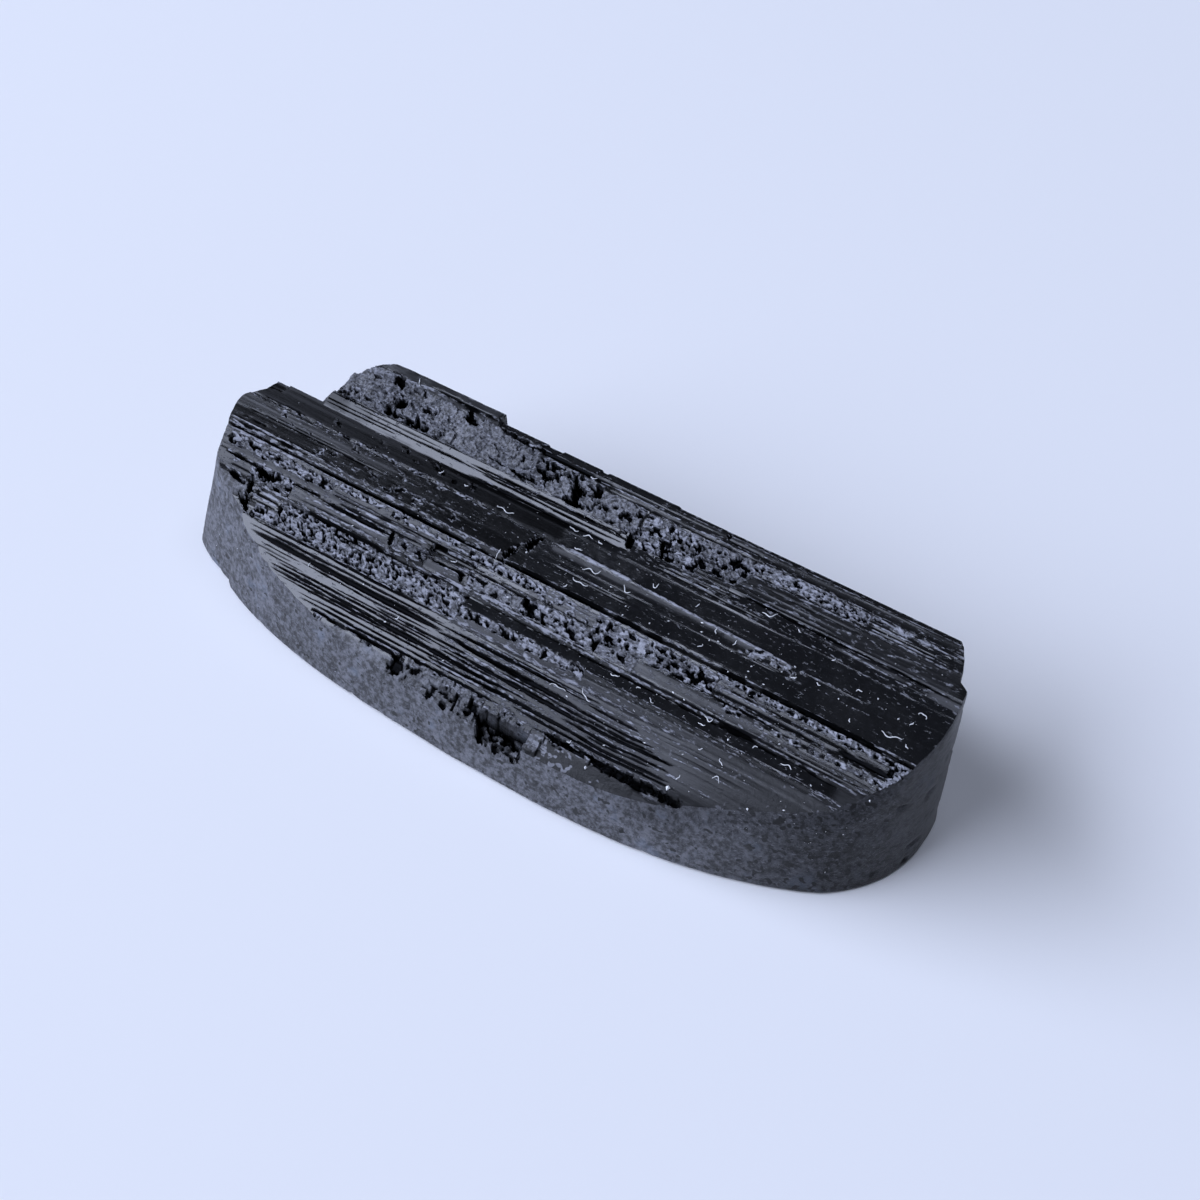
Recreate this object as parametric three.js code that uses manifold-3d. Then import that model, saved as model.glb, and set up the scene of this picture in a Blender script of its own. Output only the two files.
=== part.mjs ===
// A black tourmaline crystal: a length of one long striated prism. Its stepped and partly crumbled
// natural face is on top. Its sides are ground to a boat-shaped outline, and its base is ground flat.
// Millimetres. +X runs along the crystal, +Y to its back, +Z up from the base.

import * as THREE from "three";
import { mergeVertices } from "three/addons/utils/BufferGeometryUtils.js";
import Module from "manifold-3d";

const wasm = await Module();
wasm.setup();

// Driving dimensions of the ground blank
const RIGHT_END = 20;
const LEFT_END = -20.3;
const FRONT = -8.03;
const BACK = 8;
const BLANK_TOP = 12;
const BASE_CHAMFER = 0.2;
const OUTLINE_STEPS = 6;
// With height the walls move towards this point, by these shares of the distance to it for each millimetre.
// It lies past the right end, so that end leans out a little and the other walls lean in.
const LEAN_CENTRE = new THREE.Vector2(26, 3);
const LEAN_ALONG = 0.0058;
const LEAN_ACROSS = 0.012;

// The outline of the base, counter-clockwise from the left end's front corner, as [x, y]. Each stretch
// starts where the one before it ends, pulls towards its bend and runs to its end. One with no bend is
// straight.
const OUTLINE_START = [-19.4, -3.9];
const OUTLINE = [
  { name: "left bevel", bend: [-18.7, -4.55], end: [-16.3, -5.35] },
  { name: "nick", end: [-16.1, -5.6] },
  { name: "front left", bend: [-13, -7.05], end: [-7.5, -7.62] },
  { name: "front middle", bend: [-2.2, -8.1], end: [3.2, FRONT] },
  { name: "front right", bend: [12.3, -8.05], end: [17.6, -5] },
  { name: "right corner", bend: [19.75, -3.4], end: [RIGHT_END, -0.6] },
  { name: "right end", bend: [20.02, 0.4], end: [19.85, 1.35] },
  { name: "right notch", end: [19.35, 1.6] },
  { name: "back right", bend: [18.8, 4.1], end: [14.5, 6.3] },
  { name: "back", bend: [11, 7.9], end: [3, BACK] },
  { name: "back middle", end: [-7, 7.95] },
  { name: "back left", bend: [-12.5, 7.7], end: [-15.3, 5.4] },
  { name: "left end", bend: [-18.7, 2.4], end: [-19.35, -0.25] },
  { name: "left step", end: [-20.05, -0.85] },
  { name: "left tip", end: [LEFT_END, -1.35] },
  { name: "left corner", bend: [-20.2, -2.2], end: OUTLINE_START },
];

// Driving dimensions of the natural face. It reaches past the blank, which cuts it to size.
const RIDGE_HEIGHT = 9.84;
const CREST_HEIGHT = 10.2;
const CREST_TOP = -10.6;
const CREST_FALL = 0.05;
const FACE_HALF = 21.5;
const FACE_FLOOR = -2;
const STATION_SPACING = 1.05;
const SHARP_END_GAP = 0.12;

// The section of the natural face from front to back, as [y, z]. Each pair of close points is the steep
// side of a growth step, and the long stretches between them are its treads.
const FINE_STEP_TREAD = 0.6;
const FINE_STEP_TREAD_RISE = 0.25;
const SECTION = [
  [-9, 2.05],
  [-7.35, 2.9],
  [-6.98, 3.25],
  [-6.9, 3.34],
  ...steps([-6.64, 3.66], [-4.9, 5.26], 6),
  [-4.36, 5.72],
  [-4.28, 5.79],
  [-3.76, 6.16],
  [-3.68, 6.3],
  [-3.55, 6.42],
  [-3.25, 6.56],
  [-2.98, 6.74],
  [-2.84, 6.88],
  [-2.5, 7.06],
  [-2.14, 7.3],
  [-2.03, 7.24],
  [-1.94, 7.48],
  [-1.26, 7.82],
  [-1.2, 7.88],
  [-0.46, 8.2],
  [-0.38, 8.4],
  [0.06, 8.56],
  [0.5, 8.7],
  [0.72, 8.94],
  [0.8, 8.96],
  [1.04, 9.2],
  [1.12, 9.22],
  [1.45, 9.3],
  [1.8, 9.38],
  [2.15, 9.47],
  [2.45, 9.53],
  [2.66, 9.57],
  [2.74, 9.68],
  [3.05, 9.76],
  [3.34, RIDGE_HEIGHT],
  ...steps([3.52, 9.05], [6.45, 3.75], 5),
  [7.25, 3.3],
  [9, 2.4],
];

// Bands where the face stands above (or, with a minus, below) its section, or at the crest's own height.
// Each lies from one x to another, between a front and a back y. slant is how far its ends lie askew
// for each millimetre of y.
const BANDS = [
  { name: "left plate", from: -22, to: -0.95, front: -1.96, back: -0.42, rise: 0.16, slant: 0.55 },
  { name: "crumbled ledge", from: -6.9, to: -4.9, front: -3.62, back: -3.1, rise: 0.16, slant: 0.3 },
  { name: "crumbled patch", from: -2.7, to: 0.7, front: -3.62, back: -3.05, rise: 0.14, slant: -0.4 },
  { name: "middle rib", from: 0, to: 7.4, front: -0.5, back: -0.3, rise: 0.1, slant: 0.2 },
  { name: "back rib", from: 9.5, to: 22, front: 2.4, back: 2.7, rise: 0.12, slant: 0.5 },
  { name: "front lip", from: 3.4, to: 4.2, front: -7.4, back: -6.8, rise: 0.2, slant: 0.2 },
  { name: "dark strip", from: -2.3, to: 18.6, front: -4.3, back: -3.72, rise: -0.3, slant: -0.6 },
  { name: "crumbled back", from: -13.1, to: 3.3, front: 1.08, back: 2.7, rise: -0.26, slant: 0.3 },
  { name: "crumbled back end", from: 3.3, to: 9.2, front: 1, back: 2.45, rise: -0.16, slant: 0.9 },
  { name: "broken rib end", from: 3.4, to: 22, front: 0.6, back: 1.08, rise: -0.2, slant: 0.4 },
  { name: "crumbled front", from: -14.9, to: -2.3, front: -4.8, back: -3.72, rise: -0.14, slant: 0.4 },
  { name: "left groove", from: -22, to: -13, front: -2.1, back: -1.98, rise: -0.2, slant: 0 },
  { name: "left slot", from: -22, to: -15.4, front: -3.3, back: -3, rise: -0.14, slant: 0 },
  { name: "middle slot", from: -10.6, to: -7, front: -3.3, back: -3, rise: -0.12, slant: 0 },
  { name: "middle recess", from: -5.2, to: -2.6, front: -3.3, back: -2.8, rise: -0.3, slant: 0.5 },
  { name: "rim groove", from: -9.3, to: -3.8, front: -7, back: -6.7, rise: -0.24, slant: 0 },
  { name: "rim pit", from: -4.8, to: -3.7, front: -7.4, back: -6.7, rise: -0.2, slant: 0.2 },
  { name: "front recess", from: 0.8, to: 3.4, front: -9.1, back: -6.94, rise: -0.7, slant: 0 },
  { name: "right rim groove", from: 4.2, to: 12.6, front: -6.95, back: -6.7, rise: -0.24, slant: 0 },
  { name: "ridge dip", from: -2.9, to: -1.6, front: 3, back: 3.8, rise: -0.12, slant: 0.8 },
  { name: "low ridge", from: 4.6, to: 22, front: 3.1, back: 3.5, rise: -0.1, slant: 0.5 },
  { name: "crest", from: -13.4, to: -5.4, front: 2.7, back: 3.6, crest: true, slant: 0.3 },
];

// These band ends break off sharply, so two stations stand close together there.
const SHARP_ENDS = [-5.35, -1, 0.8, 3.38];

// Behind the left end the crystal broke away steeply, down to a low floor. Along each of these rows, as
// [y, x], the break reaches from the left as far as x.
const BREAK_EDGE = [
  [0.6, -14.1],
  [1.1, -13.8],
  [2.4, -13.5],
  [2.9, -13],
  [3.3, -12.4],
  [3.6, -11.6],
  [5, -10.8],
  [9, -9],
];
const BREAK_STEEPNESS = 1.6;
const BREAK_FLOOR = 2.8;

// Crumbled zones, where the face is broken into pits and grains. depth is how far the pits go down.
const CRUMBLED_ZONES = [
  { from: -14, to: 3.4, front: 1.08, back: 2.7, depth: 0.5 },
  { from: 3.4, to: 9.2, front: 1, back: 2.4, depth: 0.3 },
  { from: 9.2, to: 18.8, front: 2, back: 2.5, depth: 0.2 },
  { from: -14.8, to: -2.4, front: -4.8, back: -3.74, depth: 0.4 },
  { from: -17.4, to: -11, front: -3, back: -2.2, depth: 0.25 },
  { from: -11, to: 0.5, front: -3.6, back: -2.3, depth: 0.16 },
  { from: 0.5, to: 10.4, front: -3.6, back: -2.2, depth: 0.28 },
  { from: 10.4, to: 19.4, front: -2.6, back: -2.1, depth: 0.2 },
  { from: 10.4, to: 18.6, front: -3.6, back: -3.1, depth: 0.2 },
  { from: -3.8, to: 0.6, front: -8, back: -6.7, depth: 0.25 },
];
const GRAIN_SHARE = 0.35;
const SIDE_SHIFT = 0.22;
const SEED = 11;

// Points of a flight of fine steps between two points. Each step has a tread of little slope and then a
// steep riser.
function steps([fromY, fromZ], [toY, toZ], count) {
  const run = (toY - fromY) / count;
  const rise = (toZ - fromZ) / count;
  const points = [];
  for (let i = 0; i < count; i++) {
    points.push([fromY + i * run, fromZ + i * rise]);
    points.push([fromY + (i + FINE_STEP_TREAD) * run, fromZ + (i + FINE_STEP_TREAD_RISE) * rise]);
  }
  points.push([toY, toZ]);
  return points;
}

// Places along X where the face has a row of points across it.
function stations() {
  const count = Math.round((2 * FACE_HALF) / STATION_SPACING);
  const even = Array.from({ length: count + 1 }, (_, i) => -FACE_HALF + i * STATION_SPACING);
  const clear = even.filter((x) => SHARP_ENDS.every((end) => Math.abs(x - end) > STATION_SPACING / 2));
  const sharp = SHARP_ENDS.flatMap((end) => [end - SHARP_END_GAP, end + SHARP_END_GAP]);
  return [...clear, ...sharp].sort((a, b) => a - b);
}

// Whether a place lies in a band or a crumbled zone.
function inBand({ from, to, front, back, slant = 0 }, x, y) {
  const askew = slant * (y - (front + back) / 2);
  return y > front && y < back && x > from + askew && x < to + askew;
}

// The height of the crest, which rounds off towards its left end.
function crestHeight(x) {
  return CREST_HEIGHT - CREST_FALL * Math.min(0, x - CREST_TOP) ** 2;
}

// The height to which the break behind the left end has taken down a place of a given height.
function brokenHeight({ x, y, z }) {
  const next = BREAK_EDGE.findIndex((point) => point[0] > y);
  if (next < 1) {
    return z;
  }
  const [y0, x0] = BREAK_EDGE[next - 1];
  const [y1, x1] = BREAK_EDGE[next];
  const inside = Math.max(0, THREE.MathUtils.mapLinear(y, y0, y1, x0, x1) - x);
  return Math.min(z, Math.max(BREAK_FLOOR, z - BREAK_STEEPNESS * inside));
}

// Moves one point of the natural face from its section to its place on the broken and stepped surface.
function settle(point) {
  const random = THREE.MathUtils.seededRandom;
  const zone = CRUMBLED_ZONES.find((each) => inBand(each, point.x, point.y));
  for (const band of BANDS.filter((each) => inBand(each, point.x, point.y))) {
    point.z = band.crest ? crestHeight(point.x) : point.z + band.rise;
  }
  point.z = brokenHeight(point);
  if (zone) {
    const grain = random() < GRAIN_SHARE;
    point.z += zone.depth * (grain ? GRAIN_SHARE * random() : -random());
    point.x += SIDE_SHIFT * (2 * random() - 1);
  }
}

// The natural face as the top of a block that reaches past the blank on every side.
function naturalBlock() {
  const alongX = stations();
  const columns = alongX.length - 1;
  const rows = SECTION.length - 1;
  const geometry = new THREE.BoxGeometry(columns, rows, 1, columns, rows, 1);
  geometry.translate(columns / 2, rows / 2, 0);
  const bare = withoutSeams(geometry);
  const position = bare.attributes.position;
  const point = new THREE.Vector3();
  for (let i = 0; i < position.count; i++) {
    point.fromBufferAttribute(position, i);
    const [y, z] = SECTION[Math.round(point.y)];
    const top = point.z > 0;
    point.set(alongX[Math.round(point.x)], y, top ? z : FACE_FLOOR);
    if (top) {
      settle(point);
    }
    position.setXYZ(i, point.x, point.y, point.z);
  }
  return solid(bare);
}

// The outline of the base as a closed shape.
function baseOutline() {
  const outline = new THREE.Shape();
  outline.moveTo(...OUTLINE_START);
  for (const { bend, end } of OUTLINE) {
    if (bend) {
      outline.quadraticCurveTo(...bend, ...end);
    } else {
      outline.lineTo(...end);
    }
  }
  return outline;
}

// The ground blank: the outline carried up with leaning walls, and a small chamfer round its base.
function groundBlank() {
  const geometry = new THREE.ExtrudeGeometry(baseOutline(), {
    depth: BLANK_TOP,
    curveSegments: OUTLINE_STEPS,
    bevelThickness: BASE_CHAMFER,
    bevelSize: BASE_CHAMFER,
    bevelOffset: -BASE_CHAMFER,
    bevelSegments: 1,
  });
  geometry.translate(0, 0, BASE_CHAMFER);
  const position = geometry.attributes.position;
  for (let i = 0; i < position.count; i++) {
    const z = position.getZ(i);
    const x = THREE.MathUtils.lerp(position.getX(i), LEAN_CENTRE.x, LEAN_ALONG * z);
    const y = THREE.MathUtils.lerp(position.getY(i), LEAN_CENTRE.y, LEAN_ACROSS * z);
    position.setXY(i, x, y);
  }
  return solid(withoutSeams(geometry));
}

// A geometry with its positions alone, and one vertex where several faces meet.
function withoutSeams(geometry) {
  geometry.deleteAttribute("normal");
  geometry.deleteAttribute("uv");
  return mergeVertices(geometry);
}

// A closed geometry as a solid that can be joined and cut.
function solid(geometry) {
  return new wasm.Manifold(
    new wasm.Mesh({
      numProp: 3,
      vertProperties: new Float32Array(geometry.attributes.position.array),
      triVerts: new Uint32Array(geometry.index.array),
    }),
  );
}

// A solid's surface as a geometry again.
function geometryOf(body) {
  const mesh = body.getMesh();
  const geometry = new THREE.BufferGeometry();
  geometry.setAttribute("position", new THREE.BufferAttribute(mesh.vertProperties, 3));
  geometry.setIndex(new THREE.BufferAttribute(mesh.triVerts, 1));
  geometry.computeVertexNormals();
  return geometry;
}

THREE.MathUtils.seededRandom(SEED);
const schorl = new THREE.MeshStandardMaterial({ color: 0x23242a, roughness: 0.45, metalness: 0 });
const stone = new THREE.Mesh(geometryOf(naturalBlock().intersect(groundBlank())), schorl);
stone.name = "tourmaline_crystal";

const part = new THREE.Group();
part.add(stone);
export default part;
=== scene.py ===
"""Looks of a rough black tourmaline crystal, a schorl, lying on its flat ground base.

The stone is one piece. Its striated, stepped and partly crumbled natural face is on top, and its sides
are ground to a boat shape. White lint and dust have caught on the natural face. Sizes are in
millimetres in the classes and become metres where a mesh gets its points.
"""

import logging
import math
from dataclasses import dataclass, field
from enum import Enum

import bpy
import numpy as np
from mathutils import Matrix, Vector
from numpy.typing import NDArray


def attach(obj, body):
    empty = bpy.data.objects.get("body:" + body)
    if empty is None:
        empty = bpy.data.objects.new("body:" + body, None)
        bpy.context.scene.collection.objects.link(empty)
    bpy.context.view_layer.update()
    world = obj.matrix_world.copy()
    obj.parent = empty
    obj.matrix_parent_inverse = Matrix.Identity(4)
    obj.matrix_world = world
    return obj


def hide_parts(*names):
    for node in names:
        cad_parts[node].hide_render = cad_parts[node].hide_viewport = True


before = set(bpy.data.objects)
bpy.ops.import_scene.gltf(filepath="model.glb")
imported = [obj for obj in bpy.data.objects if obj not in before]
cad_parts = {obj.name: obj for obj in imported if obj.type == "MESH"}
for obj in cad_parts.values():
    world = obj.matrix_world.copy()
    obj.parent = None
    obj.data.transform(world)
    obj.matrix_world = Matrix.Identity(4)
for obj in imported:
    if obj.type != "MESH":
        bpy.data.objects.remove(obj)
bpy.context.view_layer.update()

Array = NDArray[np.float64]
Point = tuple[float, float]
Way = tuple[float, float, float]
Colour = tuple[float, float, float, float]
Socket = bpy.types.NodeSocket

MM = 0.001
BODY = "root"
NODE = "tourmaline_crystal"
TINT = (1.0, 1.03, 1.18)

# Whole numbers that the noise mixes cells with, and shifts that keep its layers apart
WORD = np.uint64(0xFFFFFFFF)
COLUMN_PRIME = np.uint64(374761393)
ROW_PRIME = np.uint64(668265263)
SEED_PRIME = np.uint64(2246822519)
MIXING = ((np.uint64(13), np.uint64(1274126177)), (np.uint64(15), np.uint64(2654435761)))
LAST_SHIFT = np.uint64(16)
OCTAVE_SHIFT = (17.3, -9.1)
PLACE_LANE, TILT_LANE, NUMBER_LANE = 1000, 2000, 3000

# Where the face rounds over into the front right wall, along the stone and to its front
SHOULDER_ALONG = (5, 11)
SHOULDER_ACROSS = (2.8, 4.6)

log = logging.getLogger("tourmaline")


class Surface(Enum):
    """What the surface can be besides plain glossy schorl, and the painted shade. The value names the
    mesh attribute.
    """

    CRUMBLED = "crumbled"
    SATIN = "satin"
    GROUND = "ground"
    WORN = "worn"
    # Painted shade: near black and metallic, so it reflects nothing, in grooves, holes, pits, dark
    # strips and shaded sides
    PAINTED_SHADE = "painted_shade"


class Edge(Enum):
    """How far the edge of a growth step wanders from its line, in millimetres."""

    CLEAN = 0.006
    WORN = 0.018
    CHIPPED = 0.045


@dataclass(frozen=True)
class Grain:
    """Seeded noise over the plane, the same on every run."""

    seed: int

    def lattice(self, column: Array, row: Array) -> Array:
        """Gives each cell of a square lattice its own number.

        Args:
            column: The cells' columns, whole numbers.
            row: The cells' rows, whole numbers.

        Returns:
            A number from 0 to 1 for each cell.
        """
        mixed = np.uint64(self.seed) * SEED_PRIME
        for cell, prime in ((column, COLUMN_PRIME), (row, ROW_PRIME)):
            mixed = mixed + np.asarray(cell).astype(np.int64).astype(np.uint64) * prime
        mixed = mixed & WORD
        for shift, prime in MIXING:
            mixed = ((mixed ^ (mixed >> shift)) * prime) & WORD
        return (mixed ^ (mixed >> LAST_SHIFT)).astype(np.float64) / float(WORD)

    def smooth(self, x: Array, y: Array) -> Array:
        """Gives smooth noise with features about one unit across.

        Args:
            x: Places along the first axis.
            y: Places along the second axis.

        Returns:
            Values from -1 to 1.
        """
        column, row = np.floor(x), np.floor(y)
        across, along = x - column, y - row
        across = across * across * (3 - 2 * across)
        along = along * along * (3 - 2 * along)
        low = self.lattice(column, row) * (1 - across) + self.lattice(column + 1, row) * across
        high = self.lattice(column, row + 1) * (1 - across) + self.lattice(column + 1, row + 1) * across
        return 2 * (low * (1 - along) + high * along) - 1

    def fractal(self, x: Array, y: Array, octaves: int = 3) -> Array:
        """Adds finer and fainter copies of the smooth noise.

        Args:
            x: Places along the first axis.
            y: Places along the second axis.
            octaves: How many copies, each twice as fine.

        Returns:
            Values from about -1 to 1.
        """
        total = np.zeros(np.broadcast(x, y).shape)
        for octave in range(octaves):
            fine_x, fine_y = (
                place * 2**octave + shift * octave for place, shift in zip((x, y), OCTAVE_SHIFT)
            )
            total += self.smooth(fine_x, fine_y) / 2**octave
        return total / (2 - 2.0 ** (1 - octaves))

    def cells(self, x: Array, y: Array) -> tuple[Array, Array]:
        """Breaks the plane into angular cells with tilted tops.

        Args:
            x: Places along the first axis.
            y: Places along the second axis.

        Returns:
            The own number of each place's cell, from 0 to 1, and the height of its tilted top there.
        """
        column, row = np.floor(x), np.floor(y)
        nearest = np.full(np.broadcast(x, y).shape, np.inf)
        number = np.zeros_like(nearest)
        top = np.zeros_like(nearest)
        for dx in (-1, 0, 1):
            for dy in (-1, 0, 1):
                i, j = column + dx, row + dy
                away_x = i + self.lattice(i, j + PLACE_LANE) - x
                away_y = j + self.lattice(i + PLACE_LANE, j) - y
                distance = away_x**2 + away_y**2
                tilt_x = 2 * self.lattice(i + TILT_LANE, j) - 1
                tilt_y = 2 * self.lattice(i, j + TILT_LANE) - 1
                closer = distance < nearest
                number = np.where(closer, self.lattice(i + NUMBER_LANE, j), number)
                top = np.where(closer, tilt_x * away_x + tilt_y * away_y, top)
                nearest = np.minimum(distance, nearest)
        return number, top


@dataclass(frozen=True)
class Wander:
    """An uneven shift: how far it goes, and how long its waves are along and across the stone."""

    amount: float
    along: float
    across: float
    octaves: int = 3

    def over(self, grain: Grain, x: Array, y: Array, lane: Point = (0, 0)) -> Array:
        """Finds the shift at some places, from the part of the noise that lane names."""
        waves_x, waves_y = x / self.along + lane[0], y / self.across + lane[1]
        return self.amount * grain.fractal(waves_x, waves_y, self.octaves)


def ease(value: Array, low: float, high: float) -> Array:
    """Rises smoothly from 0, where the value is low, to 1, where it is high."""
    share = np.clip((value - low) / (high - low), 0, 1)
    return share * share * (3 - 2 * share)


def spread(values: Array, reach: int) -> Array:
    """Averages a grid over a square around each point.

    Args:
        values: The grid.
        reach: How many points the square reaches to each side.

    Returns:
        The averages.
    """
    for axis in (0, 1):
        steps = [np.roll(values, step, axis=axis) for step in range(-reach, reach + 1)]
        values = sum(steps) / len(steps)
    return values


def at_shoulder(amount: Array | float, x: Array, y: Array) -> Array:
    """Keeps an amount at the front right, where the face rounds over, and fades it out elsewhere."""
    return amount * ease(x, *SHOULDER_ALONG) * ease(-y, *SHOULDER_ACROSS)


@dataclass(frozen=True)
class Drift:
    """A slow shift of growth lines to the back, from nothing at one x to all of it at another."""

    start: float = 0.0
    end: float = 1.0
    shift: float = 0.0


@dataclass(frozen=True)
class Knot:
    """A bend in the section of the natural face, with the kind of its edge and the drift of its line."""

    y: float
    z: float
    edge: Edge
    drift: Drift


@dataclass(frozen=True)
class Zone:
    """A stretch of the natural face, from one x to another and between a front and a back y."""

    start: float
    end: float
    front: float
    back: float
    slant: float = 0.0

    def inside(self, x: Array, y: Array) -> Array:
        """Measures how far places lie inside the zone.

        Args:
            x: Places along the stone.
            y: Places across it.

        Returns:
            The distance to the nearest border, below 0 outside.
        """
        askew = self.slant * (y - (self.front + self.back) / 2)
        ends = np.minimum(x - self.start - askew, self.end + askew - x)
        return np.minimum(ends, np.minimum(y - self.front, self.back - y))


@dataclass(frozen=True)
class Band(Zone):
    """A zone that stands above its section, or with a minus below it, at its front and at its back."""

    rise: float = 0.0
    back_rise: float = 0.0
    ragged: float = 0.05


@dataclass(frozen=True)
class Plain:
    """A part of the face where the growth steps die out between two x, and its section of y and z."""

    start: float
    whole: float
    section: tuple[Point, ...]


@dataclass(frozen=True)
class Crumble(Zone):
    """A zone that is broken into angular grains, some of which fell out and left holes.

    holes is the share of the grains that fell out, and cover the share of the zone that is broken.
    """

    depth: float = 0.2
    grain: float = 0.25
    holes: float = 0.3
    cover: float = 1.0
    reach: float = 0.12
    bevel: float = 0.06
    wander: Wander = Wander(0.09, 0.5, 0.35)
    spot_size: Point = (3.0, 1.6)
    spot_shift: float = 9.0
    spot_mean: float = 0.5
    spot_swing: float = 0.75
    cover_gain: float = 1.3
    cover_loss: float = 0.15
    cover_bevel: float = 0.05
    bend: float = 0.3
    bend_size: float = 0.2
    long: float = 1.5
    small: Point = (0.62, 0.5)
    small_shift: float = 50.0
    small_holes: float = 0.5
    tilt: float = 0.45
    small_tilt: float = 0.2
    settle: float = 0.3
    settle_mean: float = 0.75
    drop_least: float = 0.55
    drop_more: float = 0.4
    crumbs: float = 0.75
    worn_grain: float = 0.2
    worn_own: Point = (0.42, 0.66)

    def broken(self, source: Grain, x: Array, y: Array) -> Array:
        """Finds how far places are broken.

        Args:
            source: The zone's own noise.
            x: Places along the stone.
            y: Places across it.

        Returns:
            Shares from 0 to 1.
        """
        share = ease(self.inside(x, y) + self.wander.over(source, x, y), 0, self.bevel)
        if self.cover == 1:
            return share
        long, wide = self.spot_size
        spots = source.smooth(x / (long * self.grain) + self.spot_shift, y / (wide * self.grain))
        spots = self.spot_mean + self.spot_swing * spots
        left = self.cover * self.cover_gain - self.cover_loss - spots
        return share * ease(left, -self.cover_bevel, self.cover_bevel)

    def grains(self, source: Grain, x: Array, y: Array) -> tuple[Array, Array, Array]:
        """Breaks places into large and small angular grains.

        Args:
            source: The zone's own noise.
            x: Places along the stone.
            y: Places across it.

        Returns:
            The own number of each place's large grain, from 0 to 1, the depth of the hole there, if a
            grain fell out, and the height of the grains' tilted tops.
        """
        bent = x + self.bend * self.grain * source.smooth(x / self.bend_size, y / self.bend_size)
        own, top = source.cells(bent / (self.long * self.grain), y / self.grain)
        small_x = bent / (self.small[0] * self.grain) + self.small_shift
        small_y = y / (self.small[1] * self.grain) + self.small_shift
        small_own, small_top = source.cells(small_x, small_y)
        hole = np.maximum(own < self.holes, small_own < self.small_holes * self.holes)
        drop = hole * self.depth * (self.drop_least + self.drop_more * small_own)
        tops = self.tilt * self.grain * top + self.small_tilt * self.grain * small_top
        return own, drop, tops + self.settle * self.depth * (own - self.settle_mean)


@dataclass(frozen=True)
class Patch(Zone):
    """A zone of one surface, which fades at its edges and may come in slowly along the stone."""

    surface: Surface = Surface.SATIN
    amount: float = 1.0
    fade: float = 0.1
    run: float = 0.01


@dataclass(frozen=True)
class Striated(Zone):
    """A zone whose fine growth lines have a height of their own."""

    height: float = 0.01
    fade: float = 0.06


@dataclass(frozen=True)
class Line:
    """A thin rib along the stone, or with a minus height a groove, that tapers out at both ends."""

    start: float
    end: float
    first_y: float
    last_y: float
    half_width: float
    height: float


@dataclass(frozen=True)
class Pit:
    """A deep hole with a ragged rim, turned by an angle in degrees."""

    x: float
    y: float
    length: float
    width: float
    depth: float
    turn: float = 0.0


def knots(edge: Edge, *points: Point, drift: Drift = Drift()) -> list[Knot]:
    """Gives one kind of edge and one drift to several points, y and z, of the section."""
    return [Knot(y, z, edge, drift) for y, z in points]


def patches(surface: Surface, *rows: tuple[float, ...]) -> list[Patch]:
    """Gives one surface to several patches."""
    return [Patch(*row[:4], 0.0, surface, *row[4:]) for row in rows]


# The section of the natural face from front to back: the front rim, the even slope of the fine ribs
# above it, the broad steps, the ridge and the steps behind it
RIDGE_HEIGHT = 9.84
RIB_DRIFT = Drift(-8, 2, 0.16)
SECTION = [
    *knots(Edge.CLEAN, (-9.0, 2.05)),
    *knots(Edge.WORN, (-7.35, 2.9), (-6.98, 3.25), (-6.9, 3.34)),
    *knots(Edge.CLEAN, (-6.64, 3.55), (-6.22, 3.93), (-5.9, 4.2), (-5.42, 4.63), (-5.28, 4.74)),
    *knots(Edge.CLEAN, (-5.09, 4.92), (-4.88, 5.09), (-4.83, 5.14), (-4.79, 5.33), (-4.45, 5.5)),
    *knots(Edge.WORN, (-4.36, 5.7), (-4.28, 5.88), (-3.76, 6.12), (-3.68, 6.28), (-3.6, 6.37)),
    *knots(Edge.WORN, (-3.28, 6.56), (-3.2, 6.62), (-3.0, 6.72), (-2.94, 6.8), (-2.72, 6.9)),
    *knots(Edge.WORN, (-2.64, 6.98), (-2.5, 7.04), (-2.22, 7.24)),
    *knots(Edge.CHIPPED, (-2.14, 7.33)),
    *knots(Edge.WORN, (-2.06, 7.26), (-1.99, 7.54)),
    *knots(Edge.CLEAN, (-1.85, 7.6), (-1.2, 7.86), (-1.14, 7.89)),
    *knots(Edge.WORN, (-0.46, 8.19), (-0.38, 8.23)),
    *knots(Edge.CLEAN, (0.24, 8.52), (0.3, 8.56)),
    *knots(Edge.CLEAN, (0.48, 8.65), (0.75, 8.9), (0.86, 8.92), (1.1, 9.16), drift=RIB_DRIFT),
    *knots(Edge.WORN, (1.4, 9.25), (1.8, 9.36), (2.45, 9.53), (2.66, 9.6), (2.74, 9.64)),
    *knots(Edge.CLEAN, (2.95, 9.73), (2.98, 9.77), (3.15, 9.8), (3.34, RIDGE_HEIGHT)),
    *knots(Edge.WORN, (3.52, 9.0), (3.86, 8.85), (3.94, 8.3), (4.3, 8.08), (4.36, 7.9), (4.46, 7.15)),
    *knots(Edge.WORN, (4.98, 6.9), (5.04, 6.6), (5.12, 6.55), (5.24, 5.7), (5.62, 5.45), (5.74, 4.85)),
    *knots(Edge.WORN, (6.24, 4.6), (6.3, 4.1), (6.45, 3.75), (7.25, 3.3)),
    *knots(Edge.CLEAN, (9.0, 2.4)),
]

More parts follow.
